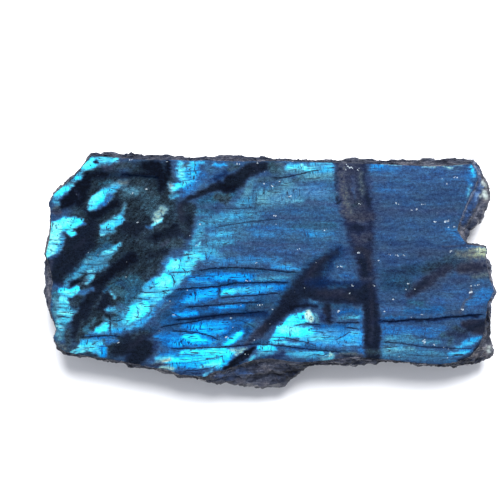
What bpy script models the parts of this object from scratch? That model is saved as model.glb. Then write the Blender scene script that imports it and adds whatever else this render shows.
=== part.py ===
"""A rough chunk of labradorite with one polished face, lying on its back.

The stone is one closed solid. Its polished face looks up (+Z) and its long side runs along X. The origin is
on the surface it rests on, under the middle of its box. Lengths in the tables are millimetres; the mesh is in
metres.

Labradorite splits along flat planes. Here the best cleavage stands upright and runs along X, so the two long
sides are fairly straight, the two ends are stepped like the edge of a stack of plates, and the deep breaks go
down in ledges that follow the rim of the polished face.
"""

import math

import bmesh
import bpy
import numpy as np
from mathutils import Vector, noise
from mathutils.geometry import delaunay_2d_cdt

MM = 0.001

# Driving dimensions, in millimetres.
THICKNESS = 20.0  # from the resting face to the crown of the polished face
CROWN_X, CROWN_Y = 0.5, 0.35  # how far the polished face falls from its middle to its ends and long sides
HALF_LENGTH, HALF_WIDTH = 57.0, 28.0  # where those falls are reached
RIM_DROP, RIM_ROUNDING = 0.55, 1.1  # the rounded edge that polishing leaves, its depth and its width
BREAK_DEPTH, BREAK_SLOPE = 2.4, 0.8  # depth of the widest line below the rim, plus this share of its reach
FOOT_INSET, FOOT_INSET_SWING = 5.0, 4.0  # how far the underside draws in from the widest line, give or take
FOOT_INSET_LENGTH = 15.0  # the distance over which that swings
UNDERSIDE_LIFT, UNDERSIDE_LIFT_SWING = 3.6, 2.8  # how far its broken edge stands above the resting face
UNDERSIDE_LIFT_LENGTH = 19.0  # the distance over which that swings
UNDERSIDE_SHELF = 11.0  # width of the stepped margin between that edge and the resting face
SHELF_SWING, SHELF_SWING_LENGTH = 0.6, 13.0  # the share of it that swings, and over what distance
UNDERSIDE_STEP = 0.9  # height of one cleavage step in the margin
SPINE = 42.0  # the wall leans in towards this stretch of the X axis, to either side of the middle
WALL_PITCH = 1.55  # spacing of the columns round the wall
FACE_PITCH, UNDERSIDE_PITCH = 3.2, 3.2  # spacing of the points inside the two broad faces
RIM_CLEARANCE = 0.55  # how near they come to the face's edge, as a share of that spacing
SHARP_ANGLE = 28.0  # edges bent by more than this many degrees stay crisp

# Each row is (rim x, rim y), (widest x, widest y): a point on the rim of the polished face and the point that
# the broken wall reaches below it. The rows go clockwise, seen from above, from the upper left corner.
UPPER_SIDE = (
    ((-44.6, 28.9), (-45.2, 29.5)),
    ((-39.8, 28.5), (-40.2, 30.2)),
    ((-32.5, 28.0), (-32.8, 29.1)),
    ((-23.0, 27.8), (-23.2, 28.9)),
    ((-19.5, 27.6), (-19.9, 28.4)),
    ((-16.0, 27.8), (-16.1, 28.9)),
    ((-8.8, 27.5), (-8.8, 29.0)),
    ((-2.0, 27.5), (-2.0, 28.7)),
    ((3.8, 27.5), (3.8, 28.2)),
    ((15.5, 27.1), (15.6, 27.9)),
    ((20.5, 27.0), (20.7, 28.5)),
    ((24.0, 26.9), (24.2, 27.9)),
    ((41.0, 26.2), (41.7, 28.2)),
    ((47.0, 26.5), (47.7, 28.2)),
)
BROKEN_CORNER = (
    ((50.5, 26.9), (51.5, 27.9)),
    ((51.9, 25.2), (53.3, 26.3)),
    ((52.2, 23.2), (54.3, 23.8)),
    ((51.2, 20.8), (56.0, 21.1)),
    ((50.2, 18.8), (56.4, 18.6)),
    ((48.1, 13.8), (54.8, 13.3)),
    ((47.2, 11.5), (53.5, 11.7)),
    ((47.0, 10.2), (51.8, 10.8)),
    ((47.8, 8.8), (50.9, 9.1)),
    ((48.5, 7.8), (49.7, 7.7)),
)
RIGHT_END = (
    ((49.4, 6.6), (50.0, 6.9)),
    ((53.8, 6.0), (54.5, 6.5)),
    ((54.4, 5.2), (55.2, 5.4)),
    ((53.9, 3.5), (54.8, 3.5)),
    ((54.5, 1.2), (56.5, 1.3)),
    ((54.9, -1.5), (56.1, -1.8)),
    ((56.2, -5.2), (57.4, -5.4)),
    ((54.6, -7.8), (56.3, -8.3)),
    ((54.1, -11.8), (56.2, -12.4)),
    ((53.5, -16.2), (56.4, -17.0)),
)
LOWER_SIDE = (
    ((52.2, -19.2), (57.4, -20.1)),
    ((50.2, -21.5), (57.1, -21.8)),
    ((46.5, -22.9), (54.2, -23.6)),
    ((42.5, -23.4), (47.0, -24.3)),
    ((37.5, -23.1), (38.9, -24.2)),
    ((31.2, -22.4), (31.8, -23.3)),
    ((25.0, -21.8), (25.3, -23.2)),
    ((21.2, -21.5), (21.0, -24.4)),
    ((17.8, -21.9), (17.7, -23.9)),
    ((10.0, -22.8), (10.3, -24.1)),
)
LUMP = (
    ((7.0, -22.8), (8.4, -25.3)),
    ((4.0, -22.5), (6.2, -27.5)),
    ((1.0, -22.0), (4.0, -29.5)),
    ((-2.0, -21.9), (0.3, -30.2)),
    ((-4.8, -22.5), (-3.3, -30.2)),
    ((-7.8, -23.5), (-6.4, -29.7)),
    ((-11.0, -24.8), (-9.7, -28.9)),
    ((-13.8, -25.2), (-12.9, -28.4)),
    ((-16.2, -26.5), (-16.2, -27.8)),
)
CHIPPED_SIDE = (
    ((-22.5, -26.0), (-22.9, -26.7)),
    ((-26.0, -24.6), (-26.5, -25.5)),
    ((-30.5, -24.0), (-30.8, -24.9)),
    ((-35.2, -23.1), (-35.8, -24.2)),
    ((-37.2, -22.5), (-37.6, -23.2)),
    ((-47.5, -21.0), (-47.9, -21.7)),
    ((-51.0, -20.4), (-51.7, -21.2)),
    ((-53.0, -19.1), (-54.0, -19.9)),
)
LEFT_END = (
    ((-54.3, -16.8), (-54.7, -16.8)),
    ((-53.5, -14.8), (-53.9, -14.7)),
    ((-54.0, -12.7), (-54.4, -12.9)),
    ((-55.2, -9.6), (-55.7, -9.8)),
    ((-54.8, -6.5), (-56.6, -7.1)),
    ((-54.9, -4.8), (-57.1, -5.1)),
    ((-54.5, -3.0), (-56.5, -3.0)),
    ((-54.8, -0.8), (-57.4, -0.8)),
    ((-55.4, 1.8), (-56.6, 1.8)),
    ((-56.2, 4.2), (-56.8, 4.3)),
    ((-55.2, 8.2), (-55.7, 8.3)),
    ((-54.8, 11.4), (-55.2, 11.6)),
    ((-55.1, 15.2), (-55.7, 15.4)),
)
CUT_CORNER = (
    ((-55.3, 17.1), (-55.9, 17.3)),
    ((-54.1, 19.3), (-54.5, 19.6)),
    ((-51.7, 21.3), (-52.0, 21.6)),
    ((-48.5, 24.4), (-48.9, 24.7)),
    ((-47.1, 26.1), (-47.5, 26.4)),
)
STATIONS = (
    UPPER_SIDE + BROKEN_CORNER + RIGHT_END + LOWER_SIDE + LUMP + CHIPPED_SIDE + LEFT_END + CUT_CORNER
)

# The break from the rim to the widest line goes down in ledges: (share of the way out, share of its depth).
LEDGES = ((0.14, 0.24), (0.44, 0.36), (0.54, 0.62), (0.86, 0.74), (1.0, 1.0))
# The wall below it: (share of the inset, share of the height left above the foot).
WALL = ((0.05, 0.82), (0.1, 0.64), (0.3, 0.48), (0.38, 0.3), (0.62, 0.14), (1.0, 0.0))

# Broken relief: the size and height of its coarse and fine facets.
COARSE_SIZE, COARSE_HEIGHT = 11.0, 1.7
FINE_SIZE, FINE_HEIGHT = 4.2, 0.8
FACETS = ((COARSE_SIZE, COARSE_HEIGHT), (FINE_SIZE, FINE_HEIGHT))
SINK_SHIFT = Vector((31, 7, 3))  # the facets that lift and sink a place are read from here, not from its own
WIDEST_LINE_STRENGTH = 0.3  # share of the relief at the widest line, which keeps close to its stations
LEDGE_STRENGTH, LEDGE_STRENGTH_LIMIT = 0.08, 0.5  # the same above it, for each millimetre that it stands out
FREE_ROOM = 1.0  # the most that relief adds outward above the widest line
PLATE, PLATE_RELIEF = 2.7, 0.55  # thickness of the cleavage plates, and how unevenly their ends broke off
PLATE_LEAN, PLATE_LEAN_LENGTH = 0.25, 14.0  # how far the plates wander from their plane, and how slowly
TILT_SPREAD = 9.7  # carries neighbouring facets to tilts that have nothing in common
SHELF_SHIFT = Vector((0, 0, 9))  # the shelf's swing is read from here, so that it doesn't follow the lift's

STONE_COLOUR, STONE_ROUGHNESS = (0.035, 0.11, 0.2, 1), 0.35


def facet(point, size):
    """The height, in units of size, of a surface broken into flat, tilted facets about size across."""
    place = point / size
    centre = noise.voronoi(place)[1][0]
    tilt = noise.cell_vector(centre * TILT_SPREAD) * 2 - Vector((1, 1, 1))
    return (place - centre).dot(tilt)


def plate_end(point):
    """How far, from -1 to 1, the cleavage plate at this point sticks out at the ends of the stone."""
    lean = PLATE_LEAN * noise.noise(point / PLATE_LEAN_LENGTH)
    plate = math.floor(point.y / PLATE + lean)
    return noise.cell(Vector((0.5, plate + 0.5, 2.5)))


def resampled(stations):
    """The stations with straight stretches between them cut to the wall's pitch."""
    points = []
    for (rim, side), (next_rim, next_side) in zip(stations, stations[1:] + stations[:1]):
        length = max(math.dist(rim, next_rim), math.dist(side, next_side))
        count = max(1, round(length / WALL_PITCH))
        for i in range(count):
            share = i / count
            points.append(
                (Vector(rim).lerp(Vector(next_rim), share), Vector(side).lerp(Vector(next_side), share))
            )
    return points


def distance_to(ring, points):
    """The distance from each point to the nearest side of the closed ring, and whether it is inside."""
    start = np.array(ring)
    step = np.roll(start, -1, 0) - start
    away = points[:, None] - start
    share = np.clip((away * step).sum(2) / (step**2).sum(1), 0, 1)
    distance = np.linalg.norm(away - share[:, :, None] * step, axis=2).min(1)
    above = away[:, :, 1] > 0
    crosses = above != np.roll(above, -1, 1)
    slope = step[:, 0] / np.where(step[:, 1] == 0, 1e-9, step[:, 1])
    inside = (crosses & (away[:, :, 0] < away[:, :, 1] * slope)).sum(1) % 2 == 1
    return distance, inside


def points_inside(ring, pitch):
    """A triangular grid of points inside the ring, none of them close to it."""
    xs = np.arange(-HALF_LENGTH - pitch, HALF_LENGTH + pitch, pitch)
    ys = np.arange(-HALF_WIDTH - pitch, HALF_WIDTH + pitch, pitch * math.sqrt(3) / 2)
    grid = np.array([(x + pitch / 2 * (row % 2), y) for row, y in enumerate(ys) for x in xs])
    distance, inside = distance_to(ring, grid)
    return [tuple(point) for point in grid[inside & (distance > RIM_CLEARANCE * pitch)]]


def crown(x, y, from_rim):
    """Height of the polished face: a very flat crown with a rounded edge."""
    fall = CROWN_X * (x / HALF_LENGTH) ** 2 + CROWN_Y * (y / HALF_WIDTH) ** 2
    return THICKNESS - fall - RIM_DROP * math.exp(-from_rim / RIM_ROUNDING)


def underside(x, y, from_foot):
    """Height of the underside: flat in the middle, with cleavage steps up to the broken edge."""
    place = Vector((x, y, 0))
    lift = UNDERSIDE_LIFT + UNDERSIDE_LIFT_SWING * noise.noise(place / UNDERSIDE_LIFT_LENGTH)
    shelf = UNDERSIDE_SHELF * (1 + SHELF_SWING * noise.noise(place / SHELF_SWING_LENGTH + SHELF_SHIFT))
    share = max(0.0, 1 - from_foot / shelf)
    return UNDERSIDE_STEP * round(lift * share / UNDERSIDE_STEP)


def broken(place, outward, strength, room):
    """The place after breaking, which leaves facets, and uneven plate ends where it faces along X."""
    push = sum(height * facet(place, size) for size, height in FACETS)
    push += PLATE_RELIEF * plate_end(place) * outward.x**2
    sink = FINE_HEIGHT * facet(place + SINK_SHIFT, FINE_SIZE)
    return place + (outward * min(push * strength, room)).to_3d() + Vector((0, 0, sink * strength))


def wall_rings(columns):
    """The rings of points from the rim down to the foot, each as a list of points in millimetres."""
    rings = [[] for _ in range(1 + len(LEDGES) + len(WALL))]
    for rim, side in columns:
        top = crown(rim.x, rim.y, 0)
        reach = side - rim
        depth = BREAK_DEPTH + BREAK_SLOPE * reach.length
        outward = (side - Vector((max(-SPINE, min(SPINE, side.x)), 0))).normalized()
        inset = FOOT_INSET + FOOT_INSET_SWING * noise.noise(side.to_3d() / FOOT_INSET_LENGTH)
        foot = side - outward * inset
        foot_height = underside(foot.x, foot.y, 0)
        rings[0].append(rim.to_3d() + Vector((0, 0, top)))
        for ring, (out, down) in zip(rings[1:], LEDGES):
            place = (rim + reach * out).to_3d() + Vector((0, 0, top - depth * down))
            strength = min(LEDGE_STRENGTH_LIMIT, LEDGE_STRENGTH * reach.length)
            if out == 1:
                strength = WIDEST_LINE_STRENGTH
            ring.append(broken(place, outward, strength, FREE_ROOM))
        for ring, (share, height) in zip(rings[1 + len(LEDGES) :], WALL):
            place = (side - outward * inset * share).to_3d()
            place.z = foot_height + (top - depth - foot_height) * height
            ring.append(broken(place, outward, 1, inset * share))
    return rings


def cap(mesh, ring, pitch, height):
    """Fills a ring of the mesh with triangles. height(x, y, distance to the ring) places the points inside."""
    outline = [tuple(corner.co.xy / MM) for corner in ring]
    inner = points_inside(outline, pitch)
    distance = distance_to(outline, np.array(inner))[0]
    corners = list(ring)
    for (x, y), away in zip(inner, distance):
        corners.append(mesh.verts.new(Vector((x, y, height(x, y, away))) * MM))
    flat = [Vector(place) for place in outline + inner]
    _, _, faces, sources, _, _ = delaunay_2d_cdt(flat, [], [list(range(len(ring)))], 1, 1e-6)
    for face in faces:
        mesh.faces.new([corners[sources[i][0]] for i in face])


def make_stone():
    """The chunk: a wall of rings, closed by the polished face above and the stepped underside below."""
    mesh = bmesh.new()
    rings = [
        [mesh.verts.new(point * MM) for point in ring] for ring in wall_rings(resampled(STATIONS))
    ]
    for upper, lower in zip(rings, rings[1:]):
        for i in range(len(upper)):
            j = (i + 1) % len(upper)
            mesh.faces.new((upper[i], upper[j], lower[j], lower[i]))
    cap(mesh, rings[0], FACE_PITCH, crown)
    cap(mesh, rings[-1], UNDERSIDE_PITCH, underside)
    bmesh.ops.triangulate(mesh, faces=[face for face in mesh.faces if len(face.verts) > 3])
    bmesh.ops.recalc_face_normals(mesh, faces=mesh.faces)
    data = bpy.data.meshes.new("labradorite_chunk")
    mesh.to_mesh(data)
    mesh.free()
    return bpy.data.objects.new("labradorite_chunk", data)


def make_material():
    """Dark blue-grey feldspar, glossy on its polished face."""
    material = bpy.data.materials.new("labradorite")
    material.use_nodes = True
    shader = material.node_tree.nodes["Principled BSDF"]
    shader.inputs["Base Color"].default_value = STONE_COLOUR
    shader.inputs["Roughness"].default_value = STONE_ROUGHNESS
    shader.inputs["Metallic"].default_value = 0.0
    return material


def main():
    for leftover in list(bpy.data.objects):
        bpy.data.objects.remove(leftover)
    collection = bpy.data.collections.new("labradorite chunk")
    bpy.context.scene.collection.children.link(collection)
    stone = make_stone()
    stone.data.materials.append(make_material())
    stone.data.shade_smooth()
    stone.data.set_sharp_from_angle(angle=math.radians(SHARP_ANGLE))
    collection.objects.link(stone)


main()
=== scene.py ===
"""The looks of a chunk of labradorite: a polished face full of blue flash, and broken sides.

The carried-over stone gives the outline, the ledges and the back. Its polished face is laid again as
a fine skin with real cracks and pits in it, and its broken sides are cut finer. Each point of the
stone then carries the tones that are painted on it, stroke by stroke, and the finishes add the fine
streaks, hairlines and grain. Lengths in the tables are millimetres in the stone's own frame.
"""

import math

import bmesh
import bpy
import numpy as np
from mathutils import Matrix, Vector, noise
from mathutils.geometry import delaunay_2d_cdt
from mathutils.kdtree import KDTree


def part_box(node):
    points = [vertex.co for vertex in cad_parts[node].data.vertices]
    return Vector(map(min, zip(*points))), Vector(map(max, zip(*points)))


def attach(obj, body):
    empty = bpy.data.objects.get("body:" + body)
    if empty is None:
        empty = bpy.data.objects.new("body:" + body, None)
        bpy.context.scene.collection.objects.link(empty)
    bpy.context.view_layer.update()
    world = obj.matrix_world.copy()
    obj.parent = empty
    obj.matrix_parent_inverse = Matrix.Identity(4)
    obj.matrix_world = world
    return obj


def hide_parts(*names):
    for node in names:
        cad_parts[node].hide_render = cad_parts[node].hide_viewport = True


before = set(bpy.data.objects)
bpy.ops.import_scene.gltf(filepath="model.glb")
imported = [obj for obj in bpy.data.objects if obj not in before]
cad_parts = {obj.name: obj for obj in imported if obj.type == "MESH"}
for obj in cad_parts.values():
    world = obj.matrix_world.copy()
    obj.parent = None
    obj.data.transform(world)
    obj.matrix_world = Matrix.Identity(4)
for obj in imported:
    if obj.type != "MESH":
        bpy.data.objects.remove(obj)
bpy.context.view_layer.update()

MM = 0.001
NODE, PIECE = "labradorite_chunk", "polished_chunk"
LOW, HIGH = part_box(NODE)
TOP = HIGH.z / MM
SEED = 7
noise.seed_set(SEED)  # noise_vector depends on it, and on the time of day where none is set

# The polished face: a very flat crown with a rounded edge.
CAP_UPWARD = 0.9  # the least Z of a normal in the carried-over face, which this one stands for
CROWN_X, CROWN_Y = 0.5, 0.35  # its fall from the middle to the ends and to the long sides
HALF_LENGTH, HALF_WIDTH = 57.0, 28.0  # where those falls are reached
RIM_DROP, RIM_ROUNDING = 0.55, 0.6
POLISH_WAVES = ((11.0, 0.03), (3.0, 0.008))  # the size and height of the waves left in the polish
WAVE_MARGIN = 2.0  # how far in from the rim the waves reach their full height

# The points of its skin: their spacing, how far they stray, and how near they come to the points
# of the rim, the cracks and the flecks, all but the first as shares of the spacing.
SKIN_PITCH, SKIN_STRAY = 0.34, 0.16
RIM_GAP, CRACK_GAP, FLECK_GAP = 0.6, 0.55, 0.4
CRACK_PITCH = 0.36
CRACK_WAVES = ((1.7, 0.06), (0.4, 0.12))  # waves to a millimetre, and how far they bend a crack
CRACK_TAPER = 4  # the number of points over which a crack's end fades
CRACK_REACH = 0.8  # how far from its points it is seen, as a share of the skin's spacing
CRACK_DEPTH, PIT_DEPTH = 0.08, 0.05
SAME_POINT, SAME_PLACE = 1e-5, 1e-6  # points as near as this are joined, in millimetres and metres

# The broken sides: cuts in each carried-over edge, then (size, height) of the facets laid on them.
WALL_CUTS = 3
BROKEN_FACETS = ((4.6, 0.45), (2.0, 0.34), (0.85, 0.16))
TILT_SPREAD = 9.7  # makes the tilts of neighbouring facets differ
LEDGE_STEP, LEDGE_SHARE = 0.75, 0.75  # the small ledges' height, and how far the slope gives way to them
PLATE_STEP, PLATE_SHARE = 0.9, 0.5  # the same for the cleavage plates, counted across the stone
RISER_START, RISER_LENGTH = 0.35, 0.3  # of the riser between two steps, as shares of the step
STEP_WANDER, STEP_WANDER_LENGTH = 0.8, 6.0  # how far the steps rise and fall, and over what distance
CALM_HEIGHT = 1.5  # below it the relief dies out, so that the stone lies flat
SHARP_ANGLE = 38.0  # edges bent by more than this many degrees stay crisp

# A tone of the flash: how much it glows, how far its blue turns to cyan, and how much grey lies over
# it. Below 0 the last one makes the blue purer and deeper instead.
INK = (0.01, 0.4, -0.1)
LAPIS = (0.3, 0.7, -0.3)
COBALT = (0.46, 0.35, -0.27)
VIVID = (0.66, 0.3, -0.3)
ELECTRIC = (0.83, 0.1, -0.25)
NEON = (0.96, 0.8, -0.3)
DELFT = (0.6, 0.4, 0.02)
ABYSS = (0.18, 0.1, -0.3)
PITCH = (0.05, 0.5, 0.1)
NIGHT = (0.06, 0.35, 0.08)
UMBER = (0.13, 0.3, 0.6)
PEAT = (0.12, 0.85, 0.15)
LODEN = (0.2, 0.95, 0.32)
KELP = (0.34, 1.0, -0.15)
BARK = (0.23, 0.2, 0.68)
PLUM = (0.32, 0.0, 0.38)
SMOKE = (0.3, 0.22, 0.22)
JEAN = (0.43, 0.15, 0.12)
DEEPSEA = (0.21, 0.6, -0.1)
MOSS = (0.28, 1.0, 0.2)
OLIVE = (0.36, 1.0, 0.85)
ASH = (0.3, 0.1, 0.75)
DUSK = (0.22, 0.25, 0.35)
MAUVE = (0.34, 0.0, 0.3)
NAVY = (0.2, 0.1, 0.0)
SHADE = (0.16, 0.2, 0.18)
HAZE = (0.35, 0.28, 0.09)
DENIM = (0.35, 0.3, 0.03)
STEEL = (0.42, 0.5, 0.08)
TEAL = (0.4, 1.0, 0.0)
SLATE = (0.48, 0.65, 0.1)
FOG = (0.55, 0.9, 0.25)
LAKE = (0.6, 0.8, 0.05)
ROYAL = (0.52, 0.2, 0.0)
AZURE = (0.76, 0.42, 0.0)
SKY = (0.8, 0.6, 0.05)
AQUA = (0.84, 0.9, 0.08)
CYAN = (1.0, 0.9, 0.0)
GLARE = (1.0, 1.0, 0.25)
PEWTER = (0.5, 0.6, 0.95)
MIST = (0.56, 0.3, 0.2)
BAY = (0.73, 0.35, 0.07)
LICHEN = (0.66, 1.0, 0.65)
CREAM = (0.8, 0.2, 1.0)
MILK = (0.95, 1.0, 0.75)

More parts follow.
